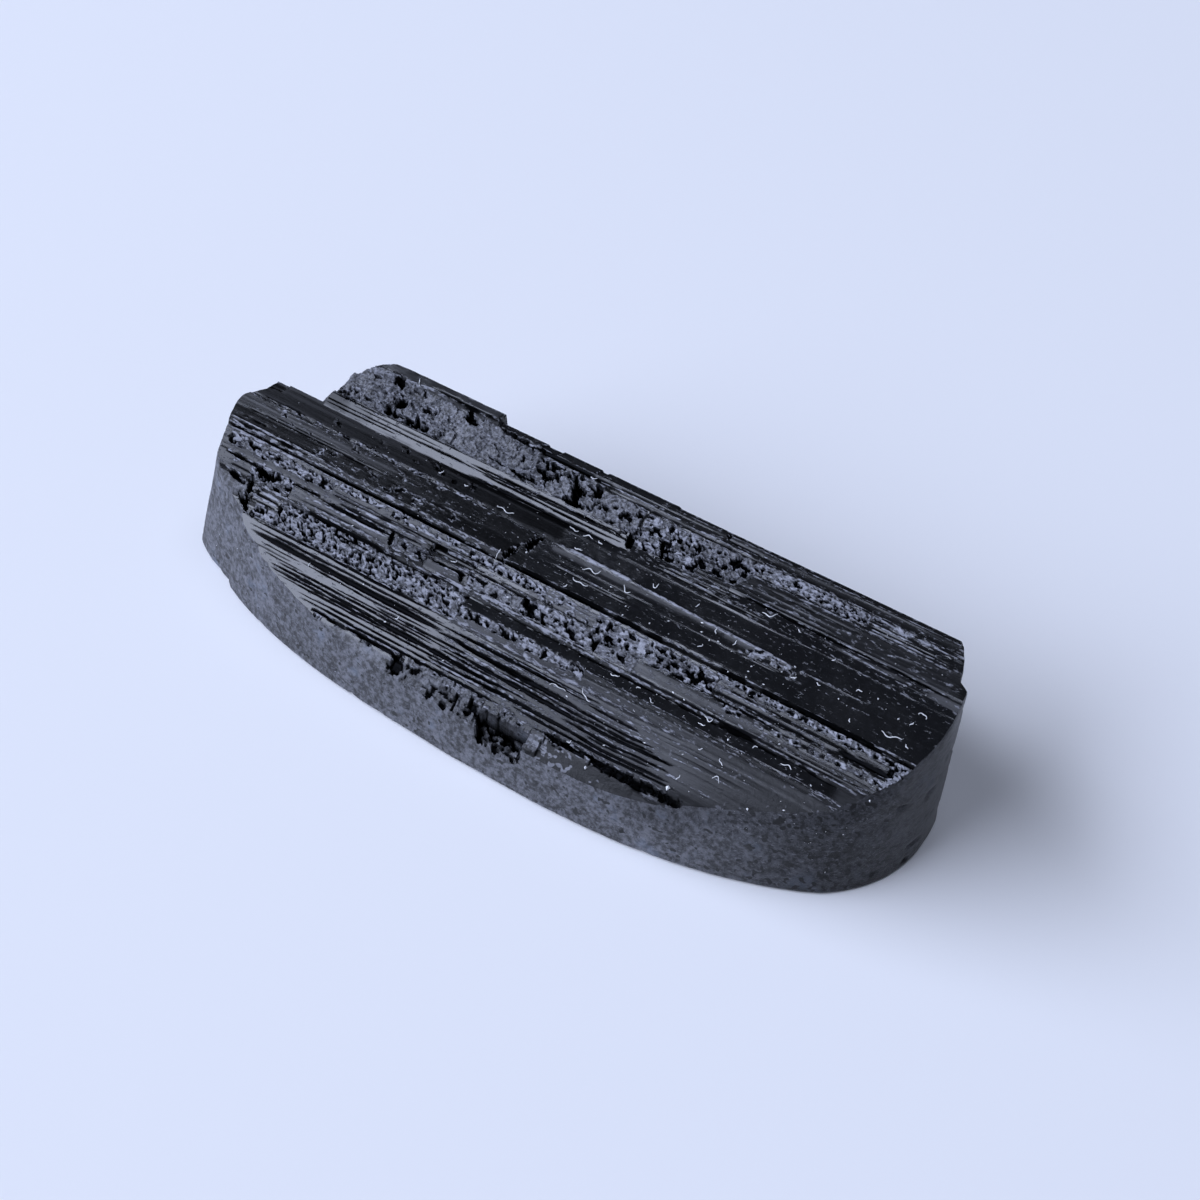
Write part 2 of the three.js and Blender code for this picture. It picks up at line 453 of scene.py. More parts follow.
# Plates that stand higher and recesses that lie lower than the section, with ragged ends and edges
BANDS = [
    Band(-22, -0.95, -1.96, -0.44, slant=0.55, rise=0.14, back_rise=0.08),
    Band(-6.9, -4.9, -3.62, -3.05, slant=0.3, rise=0.12, back_rise=0.12),
    Band(-2.6, 0.6, -3.62, -3.02, slant=-0.4, rise=0.12, back_rise=0.12),
    Band(9.5, 22, 2.42, 2.7, slant=0.5, rise=0.1, back_rise=0.1),
    Band(3.4, 4.2, -7.6, -6.7, slant=0.2, rise=0.16, back_rise=0.1),
    Band(-2.3, 18.4, -4.3, -3.72, slant=-0.6, rise=-0.02, back_rise=-0.09),
    Band(-16.5, -2.6, 1.2, 2.95, slant=0.3, rise=-0.24, back_rise=-0.02),
    Band(-2.6, 3.3, 1.2, 2.5, slant=0.3, rise=-0.24, back_rise=-0.02),
    Band(3.3, 9.2, 1.0, 2.5, slant=0.9, rise=-0.18, back_rise=-0.02),
    Band(-14.9, -2.3, -4.8, -3.72, slant=0.4, rise=-0.1, back_rise=-0.16),
    Band(-5.1, -2.7, -3.26, -2.62, slant=0.5, rise=-0.22, back_rise=-0.3),
    Band(0.8, 3.4, -9.1, -7.02, rise=-0.7, back_rise=-0.7, ragged=0.03),
    Band(-2.6, -1.7, 3.0, 3.8, slant=0.8, rise=-0.1, back_rise=-0.14),
    Band(0.4, 0.9, 3.0, 3.8, slant=0.8, rise=-0.1, back_rise=-0.14),
    Band(4.6, 22, 3.12, 3.6, slant=0.5, rise=-0.08, back_rise=-0.1, ragged=0.01),
    Band(-19, -16.2, 0.16, 0.8, slant=0.6, rise=-0.03, back_rise=-0.16),
]

# To the right the fine front ribs die out into a rounded shoulder, and the bright rib is broken off
PLAINS = [
    Plain(6.5, 12, ((-6.9, 3.5), (-6.4, 4.18), (-5.6, 4.86), (-4.45, 5.5))),
    Plain(3.3, 3.8, ((0.3, 8.56), (1.0, 8.84), (1.1, 8.94), (1.9, 9.3))),
]

# Bands and spots that are broken into crumbs
CRUMBLES = [
    Crumble(-16.5, -2.6, 1.25, 3.1, depth=0.22, grain=0.4, holes=0.05),
    Crumble(-13.4, -7.6, 1.2, 1.8, depth=0.3, grain=0.21, holes=0.27),
    Crumble(-11.2, -8.4, 1.5, 2.6, depth=0.26, grain=0.22, holes=0.11),
    Crumble(-2.6, 1.0, 1.32, 2.7, depth=0.4, grain=0.21, holes=0.33),
    Crumble(0.8, 3.4, 1.35, 2.55, depth=0.3, grain=0.27, holes=0.19),
    Crumble(3.5, 6.8, 0.9, 2.52, depth=0.24, grain=0.16, holes=0.24),
    Crumble(6.4, 9.3, 1.34, 2.52, slant=0.8, depth=0.24, grain=0.2, holes=0.2),
    Crumble(9.0, 15, 2.0, 2.62, depth=0.13, grain=0.11, holes=0.22),
    Crumble(14.6, 19.3, 2.4, 2.62, depth=0.12, grain=0.13, holes=0.23, cover=0.6),
    Crumble(-13.2, -2.3, -4.78, -3.74, depth=0.26, grain=0.11, holes=0.23),
    Crumble(-14.6, -13, -4.78, -4.3, depth=0.3, grain=0.18, holes=0.28),
    Crumble(-17.5, -11, -2.74, -2.24, depth=0.22, grain=0.18, holes=0.25),
    Crumble(-15.6, -13, -3.7, -2.95, depth=0.3, grain=0.19, holes=0.3),
    Crumble(-11.2, -2, -2.48, -2.14, depth=0.12, grain=0.13, holes=0.24, cover=0.6),
    Crumble(-3.2, 1.2, -2.58, -2.18, depth=0.16, grain=0.14, holes=0.27),
    Crumble(-6.9, -5, -3.56, -3.02, depth=0.16, grain=0.21, holes=0.11),
    Crumble(-2.6, 0.6, -3.56, -3.0, depth=0.14, grain=0.21, holes=0.09),
    Crumble(1.0, 4.4, -2.78, -2.2, depth=0.1, grain=0.13, holes=0.2, cover=0.5),
    Crumble(0.4, 4.6, -3.56, -2.84, depth=0.26, grain=0.19, holes=0.31),
    Crumble(4.0, 10.4, -3.02, -2.2, depth=0.22, grain=0.19, holes=0.22),
    Crumble(4.4, 6.6, -3.58, -2.9, depth=0.2, grain=0.21, holes=0.16),
    Crumble(10.2, 19.6, -2.4, -2.08, depth=0.13, grain=0.12, holes=0.22),
    Crumble(10.4, 16, -3.3, -2.98, depth=0.12, grain=0.14, holes=0.23, cover=0.6),
    Crumble(16.2, 19.3, -3.22, -2.96, depth=0.13, grain=0.14, holes=0.16),
    Crumble(-2.3, 4.6, -4.54, -4.2, depth=0.14, grain=0.13, holes=0.27),
    Crumble(-3.7, 0.8, -8.0, -6.55, depth=0.12, grain=0.22, holes=0.09),
    Crumble(0.9, 3.3, -8.1, -7.1, depth=0.3, grain=0.2, holes=0.4),
    Crumble(0.8, 3.4, -7.2, -6.6, depth=0.12, grain=0.16, holes=0.16, cover=0.5),
    Crumble(-16.2, -2.8, -0.48, -0.26, depth=0.13, grain=0.12, holes=0.3, cover=0.55),
    Crumble(-13.0, -4.5, -0.1, 0.4, depth=0.1, grain=0.12, holes=0.35, cover=0.2),
    Crumble(-13, -4, -1.95, -1.3, depth=0.1, grain=0.12, holes=0.35, cover=0.24),
    Crumble(-16, -6, -1.1, -0.5, depth=0.06, grain=0.12, holes=0.35, cover=0.14),
    Crumble(4.4, 11.4, -6.95, -6.52, depth=0.12, grain=0.13, holes=0.35, cover=0.55),
    Crumble(-9.2, -4.4, -6.98, -6.78, depth=0.12, grain=0.13, holes=0.39, cover=0.5),
    Crumble(18.9, 20.0, -3.4, -2.1, depth=0.13, grain=0.16, holes=0.16),
    Crumble(10.5, 13.7, -1.2, -0.6, depth=0.03, grain=0.11, holes=0.23, cover=0.3),
]

# Pits, each as its place, its half length and half width, its depth and its turn
PITS = [
    Pit(-12.9, 1.25, 0.55, 0.18, 0.3),
    Pit(-10.4, 2.2, 0.4, 0.26, 0.45, 20),
    Pit(-9.2, 1.6, 0.24, 0.4, 0.5, 10),
    Pit(-6.5, 2.75, 0.16, 0.16, 0.3),
    Pit(-4.3, 1.66, 0.7, 0.07, 0.25, -4),
    Pit(-2.95, 1.56, 0.62, 0.17, 0.4),
    Pit(-3.0, 1.92, 0.24, 0.09, 0.25),
    Pit(-0.1, 1.9, 0.3, 0.5, 0.4, 20),
    Pit(3.4, 1.15, 0.2, 0.5, 0.5, 10),
    Pit(4.9, 1.4, 0.1, 0.5, 0.3, 25),
    Pit(-0.62, -0.85, 0.2, 0.5, 0.28, -24),
    Pit(-1.35, -1.75, 0.14, 0.5, 0.28, -24),
    Pit(-14.6, -3.2, 0.6, 0.22, 0.35),
    Pit(-16.1, -3.82, 0.6, 0.12, 0.3, -8),
    Pit(-15.2, -3.9, 0.18, 0.55, 0.35, 16),
    Pit(-15.2, -4.5, 0.4, 0.12, 0.3, -28),
    Pit(-13.15, -4.15, 0.1, 0.35, 0.3, 8),
    Pit(-4.15, -7.02, 0.42, 0.4, 0.35),
    Pit(-2.95, -3.35, 0.12, 0.28, 0.25, 25),
    Pit(-7.05, -3.3, 0.12, 0.3, 0.25, 25),
    Pit(-0.58, -7.2, 0.07, 0.4, 0.2, 6),
    Pit(0.14, -7.0, 0.07, 0.3, 0.2),
    Pit(7.4, 3.05, 0.1, 0.16, 0.12),
    Pit(-11.45, -6.84, 0.36, 0.07, 0.15),
]

# Thin ribs and grooves, each as its ends along the stone, its y at both ends, its half width and height
LINES = [
    Line(-17.0, -14.4, -0.27, -0.27, 0.03, -0.04),
    Line(-16.2, -13.4, -0.6, -0.6, 0.025, 0.015),
    Line(-16.0, -12.0, -0.98, -1.0, 0.02, -0.02),
    Line(-17.5, -9.0, -1.12, -1.16, 0.035, -0.04),
    Line(-17.2, -15.8, -1.55, -1.57, 0.04, -0.04),
    Line(-17.9, -12.0, -1.83, -1.84, 0.035, 0.03),
    Line(-18.2, -13.0, -1.91, -1.92, 0.035, -0.08),
    Line(-18.2, -13.0, -2.03, -2.04, 0.035, -0.08),
    Line(-18.2, -13.4, -2.15, -2.16, 0.04, 0.03),
    Line(-17.3, -14.2, -3.07, -3.1, 0.07, -0.12),
    Line(-13.3, -11.4, -3.05, -3.05, 0.05, -0.08),
    Line(-11.2, -7.0, -3.13, -3.12, 0.11, -0.12),
    Line(-16.8, -15.4, -3.45, -3.47, 0.03, -0.03),
    Line(-12.0, -7.2, -3.28, -3.3, 0.04, 0.03),
    Line(-12.5, -8.0, -3.45, -3.46, 0.025, -0.02),
    Line(-12.0, -7.0, -3.56, -3.58, 0.04, 0.02),
    Line(-15.0, -13.2, -3.83, -3.84, 0.05, 0.03),
    Line(-15.0, -13.3, -3.96, -3.97, 0.03, -0.06),
    Line(-15.0, -13.2, -4.1, -4.1, 0.06, 0.03),
    Line(-15.0, -13.3, -4.25, -4.27, 0.03, -0.06),
    Line(-10.2, -7.6, -3.93, -3.95, 0.04, -0.06),
    Line(-9.8, -8.0, -4.07, -4.12, 0.03, -0.05),
    Line(-14.6, -3.0, -4.83, -4.82, 0.03, -0.04),
    Line(-14.4, -2.5, -5.03, -5.02, 0.045, -0.04),
    Line(-6.0, 5.0, -5.1, -5.08, 0.02, -0.03),
    Line(-3.0, 2.6, -5.32, -5.34, 0.05, -0.06),
    Line(-11.0, -3.0, -5.44, -5.47, 0.024, -0.03),
    Line(-13.8, -11.4, -5.6, -5.6, 0.02, -0.02),
    Line(-2.2, 0.8, -5.72, -5.7, 0.03, -0.03),
    Line(-12.5, -2.6, -5.8, -5.81, 0.03, -0.04),
    Line(-12.5, -6.0, -5.95, -5.97, 0.05, -0.05),
    Line(-2.5, 1.0, -5.85, -5.84, 0.025, -0.03),
    Line(-6.8, 1.2, -5.98, -6.03, 0.09, -0.07),
    Line(-12.5, -5.0, -6.09, -6.1, 0.04, -0.04),
    Line(-2.5, 3.0, -6.02, -6.0, 0.025, -0.03),
    Line(-12.0, -1.0, -6.2, -6.18, 0.03, -0.035),
    Line(-3.0, 1.6, -6.26, -6.24, 0.04, -0.04),
    Line(-10.5, 2.0, -6.4, -6.38, 0.025, -0.035),
    Line(-10.2, 2.0, -6.56, -6.57, 0.04, -0.05),
    Line(-1.0, 3.4, -4.97, -4.98, 0.02, 0.02),
    Line(-2.6, 6.4, -5.06, -5.07, 0.045, -0.04),
    Line(-1.0, 2.6, -5.15, -5.17, 0.018, 0.02),
    Line(-2.0, 5.2, -5.36, -5.42, 0.1, -0.06),
    Line(-2.5, 3.7, -5.56, -5.63, 0.03, 0.03),
    Line(-1.0, 6.0, -5.75, -5.79, 0.07, -0.05),
    Line(-2.0, 2.4, -5.92, -5.93, 0.015, 0.02),
    Line(-2.0, 4.0, -6.12, -6.13, 0.015, 0.018),
    Line(-1.0, 6.6, -6.21, -6.23, 0.06, -0.045),
    Line(-3.0, 3.2, -6.34, -6.35, 0.02, 0.02),
    Line(4.0, 8.5, -5.02, -5.04, 0.015, 0.018),
    Line(4.2, 7.6, -5.5, -5.52, 0.015, 0.018),
    Line(6.0, 10.5, -5.26, -5.28, 0.015, 0.015),
    Line(6.2, 10.0, -5.92, -5.94, 0.015, 0.018),
    Line(8.0, 13.5, -5.5, -5.52, 0.03, 0.014),
    Line(9.0, 14.5, -5.15, -5.15, 0.03, 0.014),
    Line(8.5, 13.0, -6.1, -6.12, 0.03, 0.014),
    Line(9.0, 14.0, -5.3, -5.32, 0.03, -0.016),
    Line(8.5, 13.0, -5.75, -5.77, 0.04, -0.016),
    Line(-14.3, -2.5, -5.21, -5.24, 0.11, -0.06),
    Line(-6.5, -0.5, -5.58, -5.6, 0.03, -0.03),
    Line(-9.0, -1.0, -5.68, -5.7, 0.022, -0.03),
    Line(0.5, 6.0, -4.93, -4.93, 0.02, -0.03),
    Line(0.5, 4.5, -5.56, -5.58, 0.02, -0.03),
    Line(1.0, 5.0, -5.68, -5.72, 0.02, -0.03),
    Line(5.4, 8.2, -5.16, -5.18, 0.05, -0.04),
    Line(5.3, 8.7, -5.36, -5.36, 0.02, 0.02),
    Line(4.4, 9.2, -5.47, -5.48, 0.05, -0.04),
    Line(3.6, 9.4, -5.6, -5.62, 0.04, -0.04),
    Line(5.0, 10.4, -5.75, -5.77, 0.055, -0.045),
    Line(4.4, 10.4, -5.98, -6.0, 0.05, -0.04),
    Line(5.8, 9.6, -6.1, -6.12, 0.03, -0.03),
    Line(5.0, 12.0, -5.0, -5.0, 0.03, 0.012),
    Line(5.0, 10.6, -6.28, -6.3, 0.05, -0.04),
    Line(2.0, 11.0, -6.42, -6.44, 0.05, -0.04),
    Line(-9.4, -6.9, -6.7, -6.76, 0.05, -0.14),
    Line(-7.4, -4.2, -6.7, -6.74, 0.08, -0.15),
    Line(4.0, 6.4, -6.68, -6.74, 0.11, -0.16),
    Line(5.8, 9.4, -6.62, -6.7, 0.07, -0.12),
    Line(6.6, 9.8, -6.8, -6.84, 0.09, -0.15),
    Line(9.2, 11.6, -6.72, -6.76, 0.12, -0.15),
    Line(11.9, 12.8, -6.7, -6.68, 0.06, -0.12),
    Line(-13.6, -4.0, 0.8, 0.84, 0.04, -0.05),
    Line(-12.5, -7.0, 0.97, 0.98, 0.02, -0.02),
    Line(-14.0, -9.5, 0.66, 0.68, 0.016, -0.03),
    Line(-14.0, -10.5, 1.08, 1.09, 0.02, -0.03),
    Line(-13.4, -11.0, -5.46, -5.46, 0.016, -0.02),
    Line(-13.2, -10.6, -5.7, -5.71, 0.014, -0.02),
    Line(-5.5, 3.3, 0.55, 0.6, 0.07, -0.06),
    Line(-5.0, 3.2, 0.76, 0.8, 0.025, -0.04),
    Line(-5.6, 3.2, 0.95, 1.1, 0.03, -0.05),
    Line(-9.5, -5.3, 3.17, 3.17, 0.05, -0.06),
    Line(-5.4, -3.8, 3.05, 2.92, 0.05, -0.06),
    Line(-5.2, 1.8, 2.93, 2.82, 0.11, -0.07),
    Line(-3.6, -2.8, 2.96, 2.96, 0.03, 0.02),
    Line(0.5, 5.0, 2.82, 2.78, 0.03, 0.02),
    Line(1.0, 9.5, 2.62, 2.6, 0.04, -0.05),
    Line(5.4, 9.0, 2.7, 2.67, 0.03, 0.025),
    Line(7.2, 10.0, 2.88, 2.85, 0.04, -0.05),
    Line(14.8, 17.2, 2.3, 2.3, 0.035, 0.03),
    Line(14.8, 19.2, 2.18, 2.16, 0.04, -0.05),
    Line(15.0, 19.2, 2.06, 2.04, 0.03, 0.025),
    Line(16.4, 19.2, 2.5, 2.5, 0.035, 0.025),
    Line(10.0, 15.0, 1.72, 1.7, 0.03, -0.02),
    Line(10.0, 14.5, 1.5, 1.5, 0.03, 0.012),
    Line(16.5, 18.0, 1.5, 1.72, 0.03, 0.015),
    Line(10.0, 14.0, 1.25, 1.27, 0.03, 0.012),
    Line(9.0, 16.6, 1.03, 1.0, 0.035, -0.05),
    Line(16.2, 19.7, 1.02, 1.0, 0.03, -0.04),
    Line(14.5, 17.2, 0.8, 0.72, 0.04, 0.02),
    Line(5.5, 9.2, 0.74, 0.92, 0.03, 0.02),
    Line(5.0, 9.0, 0.67, 0.76, 0.02, -0.03),
    Line(5.5, 8.3, 0.6, 0.58, 0.025, 0.02),
    Line(5.0, 11.0, 0.5, 0.5, 0.03, -0.03),
    Line(8.0, 19.0, 0.33, 0.3, 0.02, 0.012),
    Line(0.3, 5.0, -0.42, -0.45, 0.08, 0.045),
    Line(4.6, 13.2, -0.48, -0.68, 0.06, 0.03),
    Line(13.4, 17.0, -0.66, -0.7, 0.03, 0.018),
    Line(15.4, 17.1, -1.05, -1.05, 0.02, 0.015),
    Line(10.0, 13.4, -1.12, -1.1, 0.02, -0.02),
    Line(0.5, 5.0, -1.24, -1.24, 0.018, 0.015),
    Line(0.5, 5.0, -1.31, -1.31, 0.018, -0.02),
    Line(-5.5, -3.2, -1.24, -1.25, 0.02, 0.012),
    Line(-9.0, -4.0, -1.42, -1.4, 0.02, 0.01),
    Line(2.0, 5.0, -1.42, -1.43, 0.018, -0.02),
    Line(-8.7, -7.4, -1.92, -1.92, 0.025, 0.02),
    Line(-6.0, -4.4, -1.94, -1.93, 0.025, 0.02),
    Line(-13.4, -1.5, -2.06, -2.08, 0.07, -0.06),
    Line(-13.0, -2.4, -3.74, -3.73, 0.03, -0.04),
    Line(-2.6, 18.2, -3.77, -3.76, 0.03, -0.04),
    Line(5.0, 18.2, -3.64, -3.64, 0.06, -0.03),
    Line(4.0, 5.0, -2.0, -1.97, 0.02, 0.02),
    Line(0.5, 4.5, -2.3, -2.3, 0.03, 0.02),
    Line(-7.0, -2.3, -2.4, -2.42, 0.04, 0.025),
    Line(0.5, 5.0, -2.45, -2.45, 0.03, 0.02),
    Line(-4.2, -2.0, -2.52, -2.52, 0.025, -0.03),
    Line(-11.0, -3.0, -2.58, -2.6, 0.03, -0.035),
    Line(-11.0, -5.2, -2.71, -2.69, 0.02, -0.03),
    Line(-10.6, -5.4, -2.92, -2.93, 0.07, -0.06),
    Line(10.2, 13.5, -2.6, -2.6, 0.03, 0.02),
    Line(16.5, 19.2, -2.7, -2.7, 0.12, -0.06),
    Line(0.5, 4.5, -2.75, -2.77, 0.025, -0.03),
    Line(10.0, 16.0, -2.76, -2.78, 0.05, -0.04),
    Line(-9.5, -5.2, -2.78, -2.78, 0.06, 0.02),
    Line(9.0, 14.0, -3.0, -3.02, 0.03, -0.04),
    Line(-4.8, -2.6, -3.13, -3.12, 0.09, -0.1),
    Line(-2.4, 0.9, -2.88, -2.9, 0.05, -0.06),
    Line(-4.6, 4.6, -3.65, -3.63, 0.03, 0.03),
]

# Each patch as its ends along the stone, its front and back, its amount, its fade and, where it comes in
# slowly, its run
PATCHES = [
    # Patches of painted shade: dark strips, the front right corner and the right end, painted black and
    # without reflection
    *patches(
        Surface.PAINTED_SHADE,
        (-6.0, 23.0, -9.2, -4.86, 0.6, 0.05, 9.0),
        (-2.6, 23.0, -4.86, -4.36, 0.5, 0.04, 5.0),
        (-18.6, -2.6, -3.7, -2.14, 0.45, 0.05),
        (-18.8, 0.5, -0.32, 0.5, 0.9, 0.04),
        (-18.8, -0.5, -1.92, -1.16, 0.7, 0.1),
        (-18.8, -0.5, -1.16, -0.45, 0.5, 0.05),
        (-18.8, -13.9, 0.4, 0.75, 0.85, 0.03),
        (-1.6, 20.4, -2.09, -1.97, 1.0, 0.03),
        (-14.6, -12.7, 0.48, 1.3, 0.6, 0.05),
        (-14.6, -11.2, 0.48, 1.3, 0.3, 0.05),
        (-14.6, -8.6, 0.48, 0.6, 0.5, 0.05),
        (3.4, 20.6, 1.0, 2.0, 0.5, 0.1),
        (16.6, 23.0, -4.7, -3.1, 0.5, 0.2),
        (6.0, 19.0, -3.62, -2.3, 0.4, 0.1, 4.0),
        (-5.0, 19.5, 2.62, 3.6, 0.35, 0.05),
        (0.9, 3.3, -9.0, -7.08, 0.5, 0.1),
    ),
    *patches(
        Surface.SATIN,
        (-19.0, 21.0, 3.5, 8.6, 0.5, 0.1),
        (-18.6, -8.6, -1.1, -0.5, 0.7, 0.25),
        (-17.4, -5.2, -2.98, -2.5, 0.8, 0.06),
        (-17.0, -6.9, -3.68, -3.22, 0.7, 0.06),
        (-5.0, -2.8, -3.62, -3.25, 0.8, 0.06),
        (0.4, 4.6, -2.82, -2.2, 0.7, 0.08),
        (6.0, 13.0, -3.56, -3.08, 0.8, 0.08),
        (-2.6, 18.4, -4.86, -4.4, 1.0, 0.05),
        (1.0, 23.0, -9.2, -4.4, 1.0, 0.05, 7.0),
        (17.0, 23.0, -9.2, -3.4, 1.0, 0.6),
        (0.2, 9.5, -0.85, -0.48, 0.6, 0.2),
        (9.5, 13.0, -0.9, -0.62, 0.5, 0.1),
        (8.8, 20.0, 1.05, 1.95, 0.45, 0.1),
        (15.8, 20.0, 1.0, 1.34, 0.9, 0.05),
        (18.7, 20.4, 0.55, 0.95, 0.9, 0.08),
        (14.4, 17.4, 0.7, 0.9, 0.6, 0.06),
        (-5.0, 19.5, 2.76, 3.4, 0.3, 0.1),
        (5.2, 6.9, 3.0, 3.2, 0.8, 0.08),
        (7.4, 9.6, 2.98, 3.2, 0.6, 0.06),
        (-13.4, -5.4, 3.0, 3.8, 0.4, 0.1),
        (-4.6, 0.2, 0.15, 0.6, 0.4, 0.1),
        (-14.6, -11.0, -6.6, -5.5, 0.6, 1.0),
    ),
    *patches(
        Surface.GROUND,
        (-17.4, -15.3, -4.4, -3.74, 1.0, 0.05),
        (6, 23, -9.6, -4.4, 0.5, 0.1, 8.0),
        (-23, 9, -9.4, -6.86, 1.0, 0.12),
        (17.8, 23, -9.2, -3.6, 0.32, 0.8),
    ),
    *patches(
        Surface.WORN,
        (-18.8, -2.6, -1.96, 0.46, 0.14, 0.05),
        (-18.8, 19.6, -3.7, -2.1, 0.3, 0.05),
        (-2.6, 21.0, -7.0, -4.3, 0.32, 0.05),
        (-2.6, 9.0, -1.9, 0.5, 0.05, 0.2),
        (3.4, 20.4, 0.3, 3.4, 0.22, 0.1),
        (1.2, 3.4, -8.4, -7.2, 0.55, 0.2),
    ),
]

# Zones with stronger striae than the rest of the face
STRIATED = [
    Striated(-18.5, -8, -2.0, 0.5, height=0.006),
    Striated(-18.5, -8, -1.12, -0.45, height=0.014),
    Striated(-18, -2, -3.7, -2.1, height=0.016),
    Striated(-15, 10, -6.66, -4.8, height=0.012, fade=0.03),
    Striated(-14, 4, 0.45, 1.2, height=0.008),
    Striated(3, 20.5, 1.0, 2.1, height=0.03),
    Striated(3, 20.5, 0.2, 1.0, height=0.012),
    Striated(5, 22, -7.2, -4.4, height=0.02),
    Striated(-6, 20.5, 2.55, 3.4, height=0.014),
    Striated(0, 6, -1.5, -0.6, height=0.014),
    Striated(0, 12, -3.7, -2.1, height=0.016),
    Striated(9, 20.5, -3.7, -2.4, height=0.02),
    Striated(-22, 22, 3.5, 9, height=0.03),
]


@dataclass(frozen=True)
class Fibre:
    """A bit of lint on the natural face: its middle, its length, and the turn and curl in degrees."""

    x: float
    y: float
    length: float
    turn: float
    curl: float


@dataclass(frozen=True)
class Speck:
    """A chip of pale dust on the natural face, with its radius."""

    x: float
    y: float
    radius: float


# Lint, each bit as its middle, its length, its turn and its curl
FIBRES = [
    Fibre(0.75, 0.42, 0.9, -10, 60),
    Fibre(1.55, 0.42, 0.9, 12, -70),
    Fibre(2.2, 0.4, 0.5, -20, 90),
    Fibre(5.6, -0.2, 0.8, 10, 200),
    Fibre(2.5, -0.85, 1.3, 6, -60),
    Fibre(2.9, -0.78, 0.5, 50, 40),
    Fibre(4.5, -0.9, 1.0, -30, 120),
    Fibre(2.4, -1.5, 1.5, -4, 50),
    Fibre(1.9, -1.9, 0.35, 60, 40),
    Fibre(10.9, 0.82, 1.3, 14, 80),
    Fibre(12.45, 0.75, 0.35, -30, 90),
    Fibre(14.45, 0.3, 0.35, 40, 60),
    Fibre(19.05, -0.1, 0.9, 0, -150),
    Fibre(18.3, -1.4, 1.7, 6, 40),
    Fibre(10.75, -3.75, 0.8, -8, 70),
    Fibre(14.85, -3.95, 1.0, 6, -60),
    Fibre(5.95, -3.9, 0.8, 8, 80),
    Fibre(12.35, -5.5, 0.9, 0, -140),
    Fibre(12.15, -4.88, 0.6, -35, 60),
    Fibre(11.05, -4.8, 0.35, 30, 60),
    Fibre(5.1, -4.95, 1.1, -28, 70),
    Fibre(3.7, -5.1, 1.5, 4, -50),
    Fibre(-10.1, 3.15, 0.6, -60, 40),
    Fibre(0.2, 2.8, 0.6, 10, 60),
    Fibre(-3.75, -2.8, 0.6, 20, 120),
    Fibre(-5.05, -5.6, 0.35, 40, 90),
    Fibre(-10.5, -5.4, 0.35, 70, 40),
    Fibre(-2.7, -0.15, 1.6, -3, 20),
    Fibre(1.45, -0.25, 0.7, 5, 40),
    Fibre(-6.6, 0.12, 0.5, 30, 120),
    Fibre(-5.1, 0.05, 0.4, 0, 90),
    Fibre(8.9, -1.6, 0.5, 40, 100),
    Fibre(16.1, -0.35, 0.5, 20, -90),
    Fibre(7.8, -0.15, 0.35, 60, 80),
    Fibre(9.15, -0.75, 0.5, -70, 60),
    Fibre(10.2, -0.85, 0.45, 80, 50),
    Fibre(7.2, -3.9, 0.4, 30, -120),
    Fibre(10.6, -4.05, 0.6, 0, 60),
    Fibre(8.05, -4.15, 0.6, -35, 60),
    Fibre(10.75, -6.05, 0.4, 60, 60),
    Fibre(13.3, -1.05, 0.45, 20, 90),
    Fibre(14.4, -0.85, 0.4, -20, 80),
    Fibre(13.2, -3.85, 0.45, 45, -70),
    Fibre(19.1, -1.5, 0.4, -35, 50),
    Fibre(18.8, -0.6, 0.35, 50, 60),
    Fibre(16.4, -1.6, 0.3, -60, 50),
    Fibre(5.3, -6.55, 0.4, 10, 90),
    Fibre(-1.8, -1.95, 0.5, 60, 40),
]

# Specks of dust, each as its place and its radius
SPECKS = [
    Speck(3.8, -1.05, 0.05),
    Speck(8.4, -0.7, 0.06),
    Speck(8.6, -1.05, 0.05),
    Speck(9.5, -1.1, 0.05),
    Speck(7.0, -1.25, 0.05),
    Speck(6.3, -1.7, 0.05),
    Speck(18.2, -0.65, 0.06),
    Speck(17.0, -0.3, 0.05),
    Speck(12.3, -1.85, 0.05),
    Speck(11.4, -1.4, 0.05),
    Speck(11.45, -1.9, 0.05),
    Speck(8.8, -3.55, 0.06),
    Speck(9.4, -3.6, 0.05),
    Speck(12.0, -4.1, 0.06),
    Speck(14.15, -5.85, 0.07),
    Speck(10.5, -6.45, 0.14),
    Speck(6.9, -6.1, 0.06),
    Speck(6.55, -7.05, 0.09),
    Speck(4.3, -5.25, 0.06),
    Speck(-5.55, -5.9, 0.06),
    Speck(-7.4, -5.1, 0.05),
    Speck(-0.3, -3.3, 0.07),
    Speck(13.1, -0.62, 0.05),
    Speck(4.9, -1.5, 0.045),
    Speck(5.0, -1.9, 0.045),
    Speck(9.1, -1.2, 0.045),
    Speck(10.6, -2.0, 0.05),
    Speck(12.7, -1.05, 0.045),
    Speck(15.5, -1.0, 0.045),
    Speck(11.4, -1.65, 0.045),
    Speck(14.15, -3.45, 0.05),
    Speck(16.2, -4.2, 0.05),
    Speck(18.75, -3.7, 0.05),
    Speck(8.6, -5.45, 0.05),
    Speck(15.6, -5.3, 0.05),
    Speck(10.45, -5.25, 0.045),
    Speck(-0.65, -1.35, 0.06),
    Speck(-2.0, -6.15, 0.05),
    Speck(-9.2, -3.5, 0.05),
]


